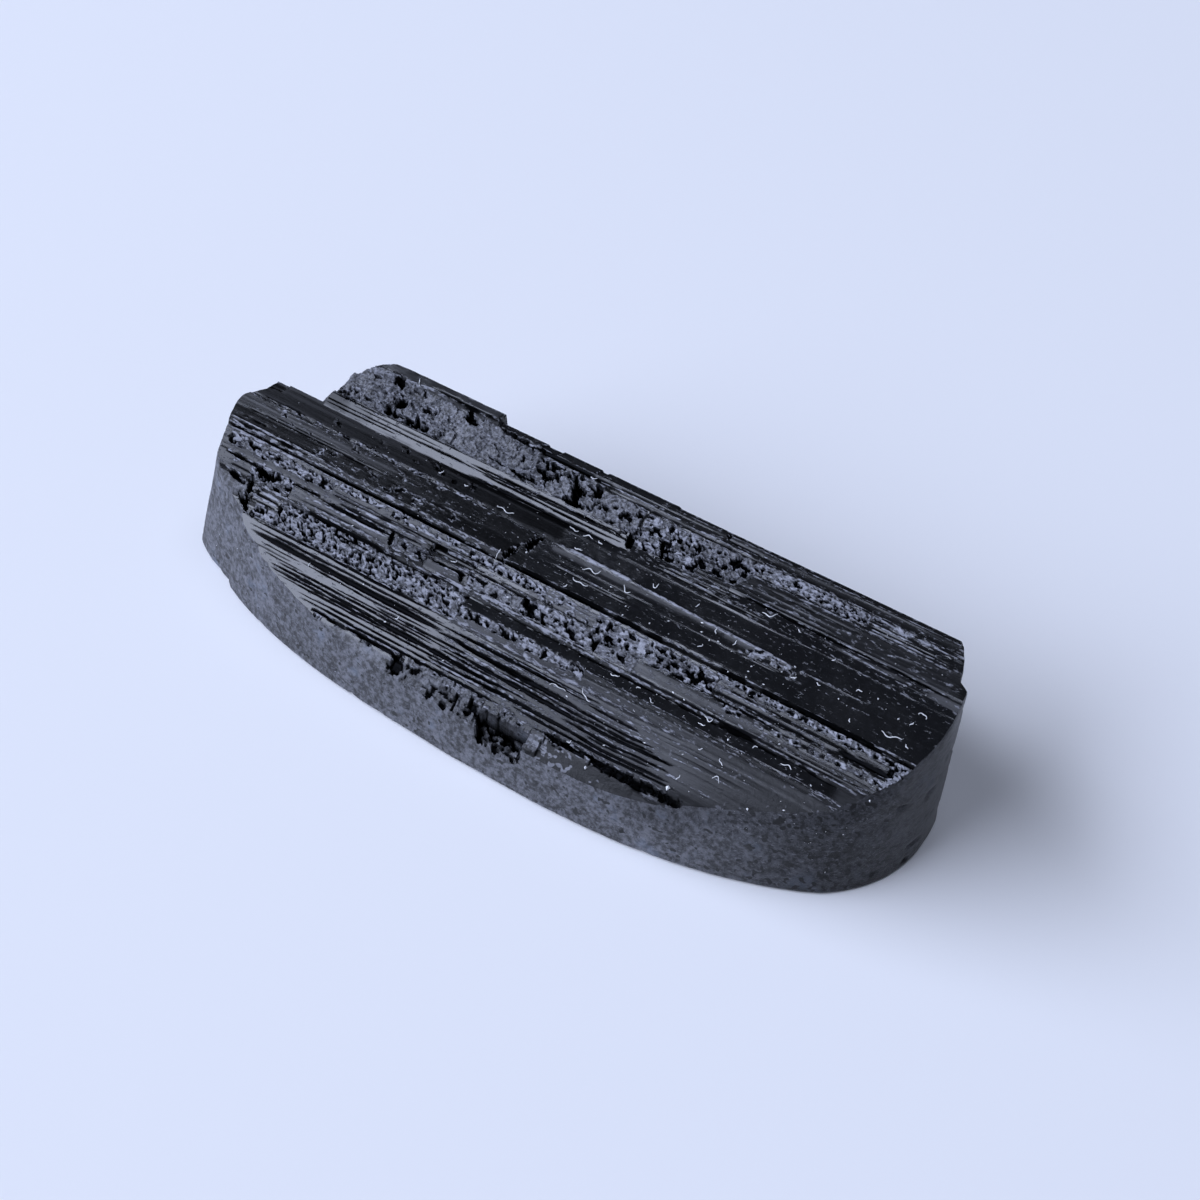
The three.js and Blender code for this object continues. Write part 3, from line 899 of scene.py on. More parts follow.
@dataclass
class NaturalFace:
    """The striated, stepped and crumbled face of the stone, as heights and surfaces on a grid."""

    half_length: float = 21.5
    floor: float = -2.0
    back_edge: float = 3.5
    column_spacing: float = 0.075
    row_spans: tuple[Way, ...] = (
        (-9.0, -6.7, 0.06),
        (-6.7, -4.75, 0.026),
        (-4.75, 0.3, 0.04),
        (0.3, 1.3, 0.028),
        (1.3, 3.7, 0.042),
        (3.7, 9.1, 0.13),
    )
    row_rest: float = 0.4
    lane_gap: float = 7.3
    lift_lane: float = 3.7
    edge_gap: float = 1e-4
    edge_sway: Wander = Wander(0.02, 8.0, 3.0, 1)
    edge_lift: Wander = Wander(0.012, 5.0, 1.0, 1)
    edge_tremble: Wander = Wander(1.0, 0.5, 1.0)
    edge_chips: Wander = Wander(1.0, 2.4, 1.0, 1)
    chip_least: float = 0.2
    chip_gain: float = 1.6
    tremble_least: float = 0.6
    band_end: Wander = Wander(4.0, 0.5, 0.25)
    band_side: Wander = Wander(1.0, 0.6, 0.6)
    band_lanes: Point = (13, 31)
    band_bevel: Point = (-0.01, 0.04)
    crest_height: float = 10.2
    crest_top: float = -10.6
    crest_fall: float = 0.05
    crest_ends: Point = (-13.4, -5.4)
    crest_whole: float = -9.0
    crest_front: Point = (2.65, 3.05)
    crest_back: float = 3.62
    crest_lip: float = 0.1
    crest_slope: float = 0.25
    crest_slant: float = 0.3
    crest_bevels: Way = (0.12, 0.06, 0.05)
    crest_wander: Wander = Wander(0.05, 0.7, 0.7)
    crest_uneven: float = 0.4
    striae_least: float = 0.003
    striae_bevel: float = -0.02
    striae_fine: Wander = Wander(0.5, 6.0, 0.085, 1)
    striae_broad: Wander = Wander(0.5, 12.0, 0.18, 1)
    line_reach: float = 0.4
    line_lanes: Point = (5.1, 3.3)
    line_wander: Wander = Wander(0.02, 1.7, 1.0, 1)
    line_uneven: Wander = Wander(0.4, 0.8, 1.0, 4)
    line_even: float = 0.85
    line_taper: float = 5
    line_widen: float = 1.25
    line_margin: float = 0.012
    line_thinnest: float = 0.01
    line_round: float = 1.5
    line_full: float = 0.025
    line_core: Point = (0.02, 0.4)
    break_edge: tuple[Point, ...] = (
        (0.6, -14.1),
        (1.1, -13.8),
        (2.4, -13.5),
        (2.9, -13.0),
        (3.3, -12.4),
        (3.6, -11.6),
        (5.0, -10.8),
        (9.0, -9.0),
    )
    break_steepness: float = 1.6
    break_floor: float = 2.8
    break_wander: Wander = Wander(0.14, 1.1, 0.5)
    break_cell: Point = (0.7, 0.45)
    break_step: float = 0.12
    break_mean: float = 0.7
    break_tilt: float = 0.14
    break_bevel: Point = (0.02, 0.3)
    break_rise: float = 0.3
    break_crumbs: float = 0.8
    break_fade: float = 0.2
    crumble_seed: int = 40
    pit_cell: Point = (0.24, 0.15)
    pit_step: float = 0.55
    pit_mean: float = 0.45
    pit_tilt: float = 0.3
    pit_wall: Point = (-1.05, -0.75)
    pit_shade: Point = (-1.0, -0.85)
    shoulder_depth: float = 0.22
    shoulder_reach: float = 1.3
    shoulder_limit: float = 1.3
    shoulder_from: Point = (3, -2)
    far: float = 9.0
    patch_wander: Wander = Wander(0.05, 0.7, 0.3)
    wear_behind: float = 0.1
    wear_face: float = 0.7
    wear_fade: float = 0.2
    wear_bend: Point = (0.4, 1.4)
    sunk_shade_square: int = 3
    sunk_shade_depth: Point = (0.04, 0.15)
    last_step: float = 1.001
    grain: Grain = Grain(11)
    height: Array = field(init=False)
    maps: dict[Surface, Array] = field(init=False)

    def __post_init__(self) -> None:
        """Works out the grid's rows and columns and the place of each of its points."""
        spans = [
            np.arange(front, back - self.row_rest * gap, gap) for front, back, gap in self.row_spans
        ]
        self.rows = np.concatenate(spans)
        count = round(2 * self.half_length / self.column_spacing)
        self.columns = np.linspace(-self.half_length, self.half_length, count + 1)
        self.x, self.y = np.meshgrid(self.columns, self.rows)

    def carve(self, blank: "GroundBlank") -> None:
        """Works out the height and the surface of every grid point.

        Args:
            blank: The ground blank, whose front right wall rounds over into the face.
        """
        self.maps = {surface: np.zeros_like(self.x) for surface in Surface}
        self.height = self.stepped()
        self.level_plains()
        self.add_bands()
        self.raise_crest()
        self.add_striae()
        self.lay_patches()
        self.draw_lines()
        self.break_left()
        self.crumble()
        self.dig_pits()
        self.round_shoulder(blank)
        self.wear_edges()

    def mark(self, surface: Surface, amount: Array, near: Array | slice = slice(None)) -> None:
        """Gives the near grid points at least some amount of a surface."""
        self.maps[surface][near] = np.maximum(self.maps[surface][near], amount)

    def stepped(self) -> Array:
        """Sweeps the section along the stone while its step edges wander.

        Returns:
            The heights of the bare growth steps.
        """
        depth = np.array([knot.y for knot in SECTION])
        level = np.array([knot.z for knot in SECTION])
        ragged = np.array([knot.edge.value for knot in SECTION])
        start = np.array([knot.drift.start for knot in SECTION])
        run = np.array([knot.drift.end for knot in SECTION]) - start
        shift = np.array([knot.drift.shift for knot in SECTION])
        number = np.arange(len(SECTION))
        lane = self.lane_gap * number
        heights = np.empty_like(self.x)
        for i, x in enumerate(self.columns):
            here = np.full_like(lane, x)
            chip = self.edge_chips.over(self.grain, here, lane) - self.chip_least
            uneven = self.tremble_least + np.maximum(chip, 0) * self.chip_gain
            drift = shift * np.clip((x - start) / run, 0, 1)
            edges = depth + drift + self.edge_sway.over(self.grain, here, depth)
            edges = edges + ragged * self.edge_tremble.over(self.grain, here, lane) * uneven
            edges = np.maximum.accumulate(edges + self.edge_gap * number)
            lift = self.edge_lift.over(self.grain, here, lane + self.lift_lane)
            heights[:, i] = np.interp(self.rows, edges, level + lift)
        return heights

    def level_plains(self) -> None:
        """Lets the growth steps die out into the plains."""
        for plain in PLAINS:
            across, level = zip(*plain.section)
            within = (self.y > across[0]) & (self.y < across[-1])
            share = ease(self.x, plain.start, plain.whole) * within
            self.height += (np.interp(self.y, across, level) - self.height) * share

    def add_bands(self) -> None:
        """Raises and lowers the bands, with ragged ends and edges."""
        lane_x, lane_y = self.band_lanes
        for number, band in enumerate(BANDS):
            end = band.ragged * self.band_end.over(self.grain, self.x, self.y, (0, lane_y * number))
            side = band.ragged * self.band_side.over(self.grain, self.x, self.y, (lane_x * number, 0))
            share = ease(band.inside(self.x + end, self.y + side), *self.band_bevel)
            rise = np.interp(self.y, (band.front, band.back), (band.rise, band.back_rise))
            self.height += rise * share

    def raise_crest(self) -> None:
        """Lifts the crest over the ridge's left part."""
        x, y = self.x, self.y
        left, right = self.crest_ends
        front_bevel, back_bevel, end_bevel = self.crest_bevels
        ragged = self.crest_wander.over(self.grain, x, y)
        front = np.interp(x, (left, self.crest_whole), self.crest_front) + ragged
        top = self.crest_height - self.crest_fall * np.minimum(0, x - self.crest_top) ** 2
        top = top - self.crest_slope * np.maximum(self.crest_back - self.crest_lip - y, 0)
        top = top + self.crest_uneven * ragged
        share = ease(y - front, 0, front_bevel) * ease(self.crest_back - y, 0, back_bevel)
        end = right + self.crest_slant * (y - front) + ragged
        share = share * ease(end - x, -end_bevel, end_bevel)
        self.height += np.maximum(top - self.height, 0) * share

    def add_striae(self) -> None:
        """Adds the fine growth lines along the stone, which stand higher in some zones."""
        height = np.full_like(self.x, self.striae_least)
        for zone in STRIATED:
            share = ease(zone.inside(self.x, self.y), self.striae_bevel, zone.fade)
            height = np.maximum(height, zone.height * share)
        fine = self.striae_fine.over(Grain(self.grain.seed + 1), self.x, self.y)
        broad = self.striae_broad.over(Grain(self.grain.seed + 2), self.x, self.y)
        self.height += height * (fine + broad)

    def draw_lines(self) -> None:
        """Adds the thin ribs and cuts the grooves."""
        wander_lane, uneven_lane = self.line_lanes
        for number, line in enumerate(LINES):
            front, back = sorted((line.first_y, line.last_y))
            near = Zone(line.start, line.end, front, back).inside(self.x, self.y) > -self.line_reach
            near &= (self.x > line.start) & (self.x < line.end)
            x, y = self.x[near], self.y[near]
            way = (x - line.start) / (line.end - line.start)
            still = np.zeros_like(x)
            wander = self.line_wander.over(self.grain, x, still, (0, wander_lane * number))
            middle = line.first_y + (line.last_y - line.first_y) * way + wander
            taper = np.sqrt(np.clip(self.line_taper * np.minimum(way, 1 - way), 0, 1))
            uneven = self.line_uneven.over(self.grain, x, still, (0, uneven_lane * number))
            half_width = self.line_widen * (line.half_width + self.line_margin)
            half_width = half_width * np.maximum(taper * (self.line_even + uneven), self.line_thinnest)
            share = np.clip(1 - ((y - middle) / half_width) ** 2, 0, 1) ** self.line_round * taper
            self.height[near] += line.height * share
            drawn = min(1, abs(line.height) / self.line_full) * ease(share, *self.line_core)
            # Grooves get painted shade along their middle; ribs lose it and are marked worn
            if line.height > 0:
                self.maps[Surface.PAINTED_SHADE][near] *= 1 - drawn
                self.mark(Surface.WORN, drawn, near)
            else:
                self.mark(Surface.PAINTED_SHADE, drawn, near)

    def break_left(self) -> None:
        """Breaks away what lies behind the left end, steeply down to a low floor."""
        x, y = self.x, self.y
        edge_y, edge_x = zip(*self.break_edge)
        wander = self.break_wander.over(self.grain, x, y)
        inside = np.where(y > edge_y[0], np.interp(y, edge_y, edge_x) - x + wander, 0)
        inside = np.maximum(inside, 0)
        number, top = self.grain.cells(x / self.break_cell[0], y / self.break_cell[1])
        rough = self.break_step * (number - self.break_mean) + self.break_tilt * top
        rough = ease(inside, *self.break_bevel) * rough
        fallen = np.maximum(self.break_floor, self.height - self.break_steepness * inside)
        fallen = fallen + np.minimum(rough, self.break_rise * inside)
        self.height = np.minimum(self.height, fallen)
        self.mark(Surface.CRUMBLED, self.break_crumbs * ease(inside, 0, self.break_fade))

    def crumble(self) -> None:
        """Breaks the crumbled zones into grains and holes."""
        for number, zone in enumerate(CRUMBLES):
            source = Grain(self.grain.seed + self.crumble_seed + number)
            near = zone.inside(self.x, self.y) > -zone.reach
            x, y = self.x[near], self.y[near]
            share = zone.broken(source, x, y)
            own, drop, relief = zone.grains(source, x, y)
            self.height[near] += share * (relief - drop)
            hole = drop > 0
            self.mark(Surface.CRUMBLED, share * (zone.crumbs + (1 - zone.crumbs) * own), near)
            # Painted shade in the holes where grains fell out
            self.mark(Surface.PAINTED_SHADE, share * hole, near)
            if zone.grain < zone.worn_grain:
                self.mark(Surface.WORN, share * (1 - hole) * ease(own, *zone.worn_own), near)

    def dig_pits(self) -> None:
        """Digs the deep pits and paints shade in them."""
        number, top = self.grain.cells(self.x / self.pit_cell[0], self.y / self.pit_cell[1])
        ragged = self.pit_step * (number - self.pit_mean) + self.pit_tilt * top
        for pit in PITS:
            turn = math.radians(pit.turn)
            x, y = self.x - pit.x, self.y - pit.y
            along = x * math.cos(turn) + y * math.sin(turn)
            across = y * math.cos(turn) - x * math.sin(turn)
            reach = np.hypot(along / pit.length, across / pit.width) + ragged
            self.height -= pit.depth * ease(-reach, *self.pit_wall)
            self.mark(Surface.PAINTED_SHADE, ease(-reach, *self.pit_shade))

    def round_shoulder(self, blank: "GroundBlank") -> None:
        """Rounds the face over towards the front right wall.

        Args:
            blank: The ground blank.
        """
        near = (self.x > self.shoulder_from[0]) & (self.y < self.shoulder_from[1])
        gap = np.full_like(self.x, self.far)
        gap[near] = blank.margin(self.x[near], self.y[near], self.height[near])
        round_off = np.clip(1 - gap / self.shoulder_reach, 0, self.shoulder_limit) ** 2
        self.height -= self.shoulder_depth * at_shoulder(round_off, self.x, self.y)

    def lay_patches(self) -> None:
        """Marks the patches of satin, ground and worn surface, and the patches of painted shade."""
        ragged = self.patch_wander.over(self.grain, self.x, self.y)
        for patch in PATCHES:
            share = ease(patch.inside(self.x, self.y) + ragged, 0, patch.fade)
            share = patch.amount * share * ease(self.x - patch.start, 0, patch.run)
            self.mark(patch.surface, share)

    def wear_edges(self) -> None:
        """Marks the sharp outer edges, which are worn lighter, and paints shade into the sunken spots of
        the face.
        """
        slope = np.diff(self.height, axis=0) / np.diff(self.rows)[:, None]
        bend = np.zeros_like(self.height)
        bend[1:-1] = slope[:-1] - slope[1:]
        face = ease(-self.rows, -self.back_edge - self.wear_fade, -self.back_edge)[:, None]
        self.mark(Surface.WORN, (self.wear_behind + self.wear_face * face) * ease(bend, *self.wear_bend))
        sunk = spread(self.height, self.sunk_shade_square) - self.height
        self.mark(Surface.PAINTED_SHADE, face * ease(sunk, *self.sunk_shade_depth))

    def sample(self, values: Array, x: Array, y: Array) -> Array:
        """Reads a grid of values at any places.

        Args:
            values: Heights or amounts on the grid.
            x: Places along the stone.
            y: Places across it.

        Returns:
            The values there, blended between the nearest grid points.
        """
        last_column, last_row = len(self.columns) - self.last_step, len(self.rows) - self.last_step
        column = (x - self.columns[0]) / (self.columns[1] - self.columns[0])
        column = np.clip(column, 0, last_column)
        row = np.clip(np.interp(y, self.rows, np.arange(len(self.rows))), 0, last_row)
        i, j = column.astype(int), row.astype(int)
        u, v = column - i, row - j
        near = values[j, i] * (1 - u) + values[j, i + 1] * u
        far = values[j + 1, i] * (1 - u) + values[j + 1, i + 1] * u
        return near * (1 - v) + far * v

    def build(self) -> bpy.types.Object:
        """Makes the face as the top of a block that reaches past the stone on every side.

        Returns:
            The block.
        """
        across, along = len(self.columns) - 1, len(self.rows) - 1
        bpy.ops.object.select_all(action="DESELECT")
        bpy.ops.mesh.primitive_grid_add(x_subdivisions=across, y_subdivisions=along, size=2)
        block = bpy.context.object
        points = read_points(block)
        i = np.rint((points[:, 0] + 1) / 2 * across).astype(int)
        j = np.rint((points[:, 1] + 1) / 2 * along).astype(int)
        write_points(block, np.stack([self.columns[i], self.rows[j], self.height[j, i]], axis=1))
        bpy.ops.object.mode_set(mode="EDIT")
        bpy.ops.mesh.select_mode(type="EDGE")
        bpy.ops.mesh.select_all(action="DESELECT")
        bpy.ops.mesh.select_non_manifold()
        bpy.ops.mesh.extrude_edges_move(TRANSFORM_OT_translate={"value": (0, 0, self.floor * MM)})
        bpy.ops.transform.resize(value=(1, 1, 0), center_override=(0, 0, self.floor * MM))
        bpy.ops.mesh.edge_face_add()
        bpy.ops.mesh.select_all(action="SELECT")
        bpy.ops.mesh.normals_make_consistent(inside=False)
        bpy.ops.object.mode_set(mode="OBJECT")
        return block


def read_points(piece: bpy.types.Object) -> Array:
    """Reads a mesh's points.

    Args:
        piece: The mesh object.

    Returns:
        One row of x, y and z for each vertex, as the mesh has them.
    """
    flat = np.empty(len(piece.data.vertices) * 3)
    piece.data.vertices.foreach_get("co", flat)
    return flat.reshape(-1, 3)


def write_points(piece: bpy.types.Object, points: Array) -> None:
    """Moves a mesh's points, given as one row of millimetres for each vertex."""
    piece.data.vertices.foreach_set("co", (points * MM).ravel())
    piece.data.update()


def apply_modifier(piece: bpy.types.Object, name: str) -> None:
    """Applies one modifier of a piece.

    Args:
        piece: The object that has it.
        name: The modifier's name.
    """
    bpy.ops.object.select_all(action="DESELECT")
    piece.select_set(True)
    bpy.context.view_layer.objects.active = piece
    bpy.ops.object.modifier_apply(modifier=name)


@dataclass
class GroundBlank:
    """The boat-shaped blank that the stone was ground to, with leaning walls and a flat base."""

    right_end: float = 20.0
    left_end: float = -20.3
    front: float = -8.03
    back: float = 8.0
    top: float = 12.0
    base_round: float = 0.2
    lean_centre: Point = (26.0, 3.0)
    lean_along: float = 0.0058
    lean_across: float = 0.012
    point_spacing: float = 0.18
    row_spacing: float = 0.18
    curve_points: int = 60
    foot_rows: Point = (0.6, 4)
    margin_parts: int = 40
    brim_first: float = 4.0
    brim_rounds: int = 4
    brim_round: float = 0.05
    brim_reach: float = 0.2
    waves: Wander = Wander(0.03, 2.2, 1.6)
    tooth: Wander = Wander(0.014, 0.45, 0.45)
    pits: Wander = Wander(1.0, 0.5, 0.45, 1)
    pit_seed: int = 5
    pit_depth: float = 0.1
    pit_span: Point = (0.66, 0.9)
    stand_off: float = 0.02
    grain: Grain = Grain(23)
    outline: Array = field(init=False)
    outward: Array = field(init=False)

    def __post_init__(self) -> None:
        """Draws the base's outline and finds which way it faces."""
        self.outline = self.draw_outline()
        along = np.roll(self.outline, -1, axis=0) - np.roll(self.outline, 1, axis=0)
        self.outward = np.column_stack([along[:, 1], -along[:, 0]])
        self.outward /= np.hypot(along[:, 0], along[:, 1])[:, None]

    def draw_outline(self) -> Array:
        """Draws the base's outline, counter-clockwise from the left end's front corner.

        Returns:
            Evenly spaced points, one row of x and y each.
        """
        start = (-19.4, -3.9)
        stretches = [
            ((-18.7, -4.55), (-16.3, -5.35)),
            ((-16.2, -5.47), (-16.1, -5.6)),
            ((-13, -7.05), (-7.5, -7.62)),
            ((-2.2, -8.1), (3.2, self.front)),
            ((12.3, -8.05), (17.6, -5)),
            ((19.75, -3.4), (self.right_end, -0.6)),
            ((20.02, 0.4), (19.85, 1.35)),
            ((19.6, 1.47), (19.35, 1.6)),
            ((18.8, 4.1), (14.5, 6.3)),
            ((11, 7.9), (3, self.back)),
            ((-2, 7.98), (-7, 7.95)),
            ((-12.5, 7.7), (-15.3, 5.4)),
            ((-18.7, 2.4), (-19.35, -0.25)),
            ((-19.7, -0.55), (-20.05, -0.85)),
            ((-20.22, -1.05), (self.left_end, -1.35)),
            ((-20.2, -2.2), start),
        ]
        share = np.linspace(0, 1, self.curve_points, endpoint=False)[:, None]
        points = []
        for bend, end in stretches:
            first, middle, last = np.array(start), np.array(bend), np.array(end)
            points.append((1 - share) ** 2 * first + 2 * share * (1 - share) * middle + share**2 * last)
            start = end
        path = np.concatenate(points + [points[0][:1]])
        walked = np.concatenate([[0], np.cumsum(np.hypot(*np.diff(path, axis=0).T))])
        count = round(walked[-1] / self.point_spacing)
        even = np.linspace(0, walked[-1], count, endpoint=False)
        return np.column_stack([np.interp(even, walked, path[:, axis]) for axis in (0, 1)])

    def leaned(self, place: Array, height: Array) -> Array:
        """Moves places of the base outline, one row of x and y each, as the walls lean at a height."""
        share = np.outer(height, (self.lean_along, self.lean_across))
        return place + (np.array(self.lean_centre) - place) * share

    def margin(self, x: Array, y: Array, z: Array) -> Array:
        """Measures how far places lie inside the leaning wall.

        Args:
            x: Places along the stone.
            y: Places across it.
            z: Their heights.

        Returns:
            The distances, below 0 outside.
        """
        share = np.outer(z, (self.lean_along, self.lean_across))
        base = (np.column_stack([x, y]) - np.array(self.lean_centre) * share) / (1 - share)
        gaps = np.empty(len(base))
        for part in np.array_split(np.arange(len(base)), self.margin_parts):
            apart = base[part, None, :] - self.outline[None, :, :]
            nearest = np.argmin((apart**2).sum(axis=2), axis=1)
            gaps[part] = -(apart[np.arange(len(part)), nearest] * self.outward[nearest]).sum(axis=1)
        return gaps

    def brim(self, face: NaturalFace) -> Array:
        """Finds the height at which the natural face cuts off the wall at each outline point.

        Args:
            face: The natural face.

        Returns:
            The heights.
        """
        height = np.full(len(self.outline), self.brim_first)
        for _ in range(self.brim_rounds):
            place = self.leaned(self.outline, height)
            height = face.sample(face.height, place[:, 0], place[:, 1])
        return height

    def build(self, face: NaturalFace) -> bpy.types.Object:
        """Makes the blank from a cylinder whose rings take the outline.

        Args:
            face: The natural face, below whose edge the wall is rounded.

        Returns:
            The blank.
        """
        count = len(self.outline)
        cuts = round(self.top / self.row_spacing) - 1
        bpy.ops.object.select_all(action="DESELECT")
        bpy.ops.mesh.primitive_cylinder_add(vertices=count, radius=1, depth=2, end_fill_type="NGON")
        blank = bpy.context.object
        bpy.ops.object.mode_set(mode="EDIT")
        bpy.ops.mesh.select_mode(type="EDGE")
        bpy.ops.mesh.select_all(action="DESELECT")
        bpy.ops.object.mode_set(mode="OBJECT")
        points = read_points(blank)
        for edge in blank.data.edges:
            first, second = edge.vertices
            edge.select = bool(abs(points[first, 2] - points[second, 2]) > 1)
        bpy.ops.object.mode_set(mode="EDIT")
        bpy.ops.mesh.subdivide_edgering(number_cuts=cuts, interpolation="LINEAR")
        bpy.ops.object.mode_set(mode="OBJECT")
        points = read_points(blank)
        turn = np.arctan2(points[:, 1], points[:, 0]) / (2 * math.pi)
        spot = np.rint(turn * count).astype(int) % count
        level = (points[:, 2] + 1) / 2
        dense, soon = self.foot_rows
        height = self.top * level ** (1 + dense * (1 - level) ** soon)
        worn = self.swell(spot * self.point_spacing, height) - self.rounding(face, spot, height)
        place = self.leaned(self.outline[spot] + self.outward[spot] * worn[:, None], height)
        write_points(blank, np.column_stack([place, height]))
        return blank

    def swell(self, walked: Array, height: Array) -> Array:
        """Finds how far the ground wall stands off its outline.

        Args:
            walked: Distances along the outline.
            height: Heights up the wall.

        Returns:
            The distance outwards at each place.
        """
        uneven = self.waves.over(self.grain, walked, height)
        uneven = uneven + self.tooth.over(self.grain, walked, height)
        pitted = self.pits.over(Grain(self.grain.seed + self.pit_seed), walked, height)
        return uneven - self.pit_depth * ease(pitted, *self.pit_span) + self.stand_off

    def rounding(self, face: NaturalFace, spot: Array, height: Array) -> Array:
        """Finds how far the wall is worn back at its foot and below its brim.

        Args:
            face: The natural face.
            spot: The number of each place's outline point.
            height: Heights up the wall.

        Returns:
            The distance inwards at each place.
        """
        foot = np.clip(1 - height / self.base_round, 0, 1)
        foot = self.base_round * (1 - np.sqrt(1 - foot**2))
        soft = at_shoulder(1.0, self.outline[:, 0], self.outline[:, 1])[spot]
        below = np.maximum(self.brim(face)[spot] - height, 0)
        shoulder = face.shoulder_depth * np.clip(1 - below / face.shoulder_reach, 0, 1) ** 2
        edge = self.brim_round * np.clip(1 - below / self.brim_reach, 0, 1) ** 2
        return foot + soft * shoulder + (1 - soft) * edge


@dataclass
class Shader:
    """A material whose nodes are added one by one."""

    name: str

    def __post_init__(self) -> None:
        """Makes the material and finds its tree."""
        self.material = bpy.data.materials.new(self.name)
        self.material.use_nodes = True
        self.tree = self.material.node_tree
        self.surface = self.tree.nodes["Principled BSDF"]

    def add(self, kind: str, **settings: object) -> bpy.types.Node:
        """Adds a node.

        Args:
            kind: The node's type.
            settings: Its properties and their values.

        Returns:
            The node.
        """
        node = self.tree.nodes.new(kind)
        for name, value in settings.items():
            setattr(node, name, value)
        return node

    def feed(self, socket: Socket, value: object) -> None:
        """Links a socket to another node's socket, or sets it to a plain value.

        Args:
            socket: The input.
            value: An output socket, a number, a vector or a colour.
        """
        if isinstance(value, bpy.types.NodeSocket):
            self.tree.links.new(value, socket)
        else:
            socket.default_value = value

    def place(self, scale: Way = (1.0, 1.0, 1.0)) -> Socket:
        """Adds the object's own coordinates.

        Args:
            scale: Units for each millimetre along x, y and z.

        Returns:
            The coordinates' socket.
        """
        node = self.add("ShaderNodeMapping")
        self.feed(node.inputs["Vector"], self.add("ShaderNodeTexCoord").outputs["Object"])
        self.feed(node.inputs["Scale"], tuple(share / MM for share in scale))
        return node.outputs["Vector"]

    def noise(self, place: Socket, scale: float, detail: float, rough: float) -> Socket:
        """Adds a noise texture.

        Args:
            place: The coordinates.
            scale: Features for each unit.
            detail: How many finer layers it has.
            rough: How strong the finer layers are.

        Returns:
            The noise's value socket.
        """
        node = self.add("ShaderNodeTexNoise")
        self.feed(node.inputs["Vector"], place)
        self.feed(node.inputs["Scale"], scale)
        self.feed(node.inputs["Detail"], detail)
        self.feed(node.inputs["Roughness"], rough)
        return node.outputs["Fac"]

    def ramp(self, value: Socket, low: float, high: float, start: float = 0, end: float = 1) -> Socket:
        """Maps a range of values onto another.

        Args:
            value: The socket to map.
            low: The value that gives start.
            high: The value that gives end.
            start: The first result.
            end: The last result.

        Returns:
            The mapped value's socket.
        """
        node = self.add("ShaderNodeMapRange", clamp=True)
        for name, number in zip(("From Min", "From Max", "To Min", "To Max"), (low, high, start, end)):
            self.feed(node.inputs[name], number)
        self.feed(node.inputs["Value"], value)
        return node.outputs["Result"]

    def math(self, operation: str, first: object, second: object = 0.0) -> Socket:
        """Combines two numbers.

        Args:
            operation: The operation's name.
            first: A socket or a number.
            second: A socket or a number.

        Returns:
            The result's socket.
        """
        node = self.add("ShaderNodeMath", operation=operation)
        self.feed(node.inputs[0], first)
        self.feed(node.inputs[1], second)
        return node.outputs[0]

    def weigh(self, value: Socket, other: Socket, share: float) -> Socket:
        """Adds a share of another value to a value."""
        return self.math("ADD", value, self.math("MULTIPLY", other, share))

    def blend(self, share: object, first: object, second: object) -> Socket:
        """Mixes two colours.

        Args:
            share: How much of the second colour shows.
            first: A socket or a colour.
            second: A socket or a colour.

        Returns:
            The mixed colour's socket.
        """
        node = self.add("ShaderNodeMix", data_type="RGBA")
        self.feed(node.inputs["Factor"], share)
        self.feed(node.inputs[6], first)
        self.feed(node.inputs[7], second)
        return node.outputs[2]

    def mix(self, share: object, first: object, second: object) -> Socket:
        """Mixes two numbers.

        Args:
            share: How much of the second number counts.
            first: A socket or a number.
            second: A socket or a number.

        Returns:
            The mixed number's socket.
        """
        node = self.add("ShaderNodeMix", data_type="FLOAT")
        self.feed(node.inputs["Factor"], share)
        self.feed(node.inputs[2], first)
        self.feed(node.inputs[3], second)
        return node.outputs[0]

    def amount(self, surface: Surface) -> Socket:
        """Reads how much of a surface a place has."""
        return self.add("ShaderNodeAttribute", attribute_name=surface.value).outputs["Fac"]

    def roughen(self, height: Socket, distance: float, strength: float) -> None:
        """Bumps the surface.

        Args:
            height: The bump's height socket.
            distance: How high the bump is at most, in millimetres.
            strength: How much it counts.
        """
        bump = self.add("ShaderNodeBump")
        self.feed(bump.inputs["Height"], height)
        self.feed(bump.inputs["Distance"], distance * MM)
        self.feed(bump.inputs["Strength"], strength)
        self.feed(self.surface.inputs["Normal"], bump.outputs["Normal"])


def grey(value: float) -> Colour:
    """Gives the stone's slightly bluish grey."""
    red, green, blue = (share * value for share in TINT)
    return (red, green, blue, 1.0)


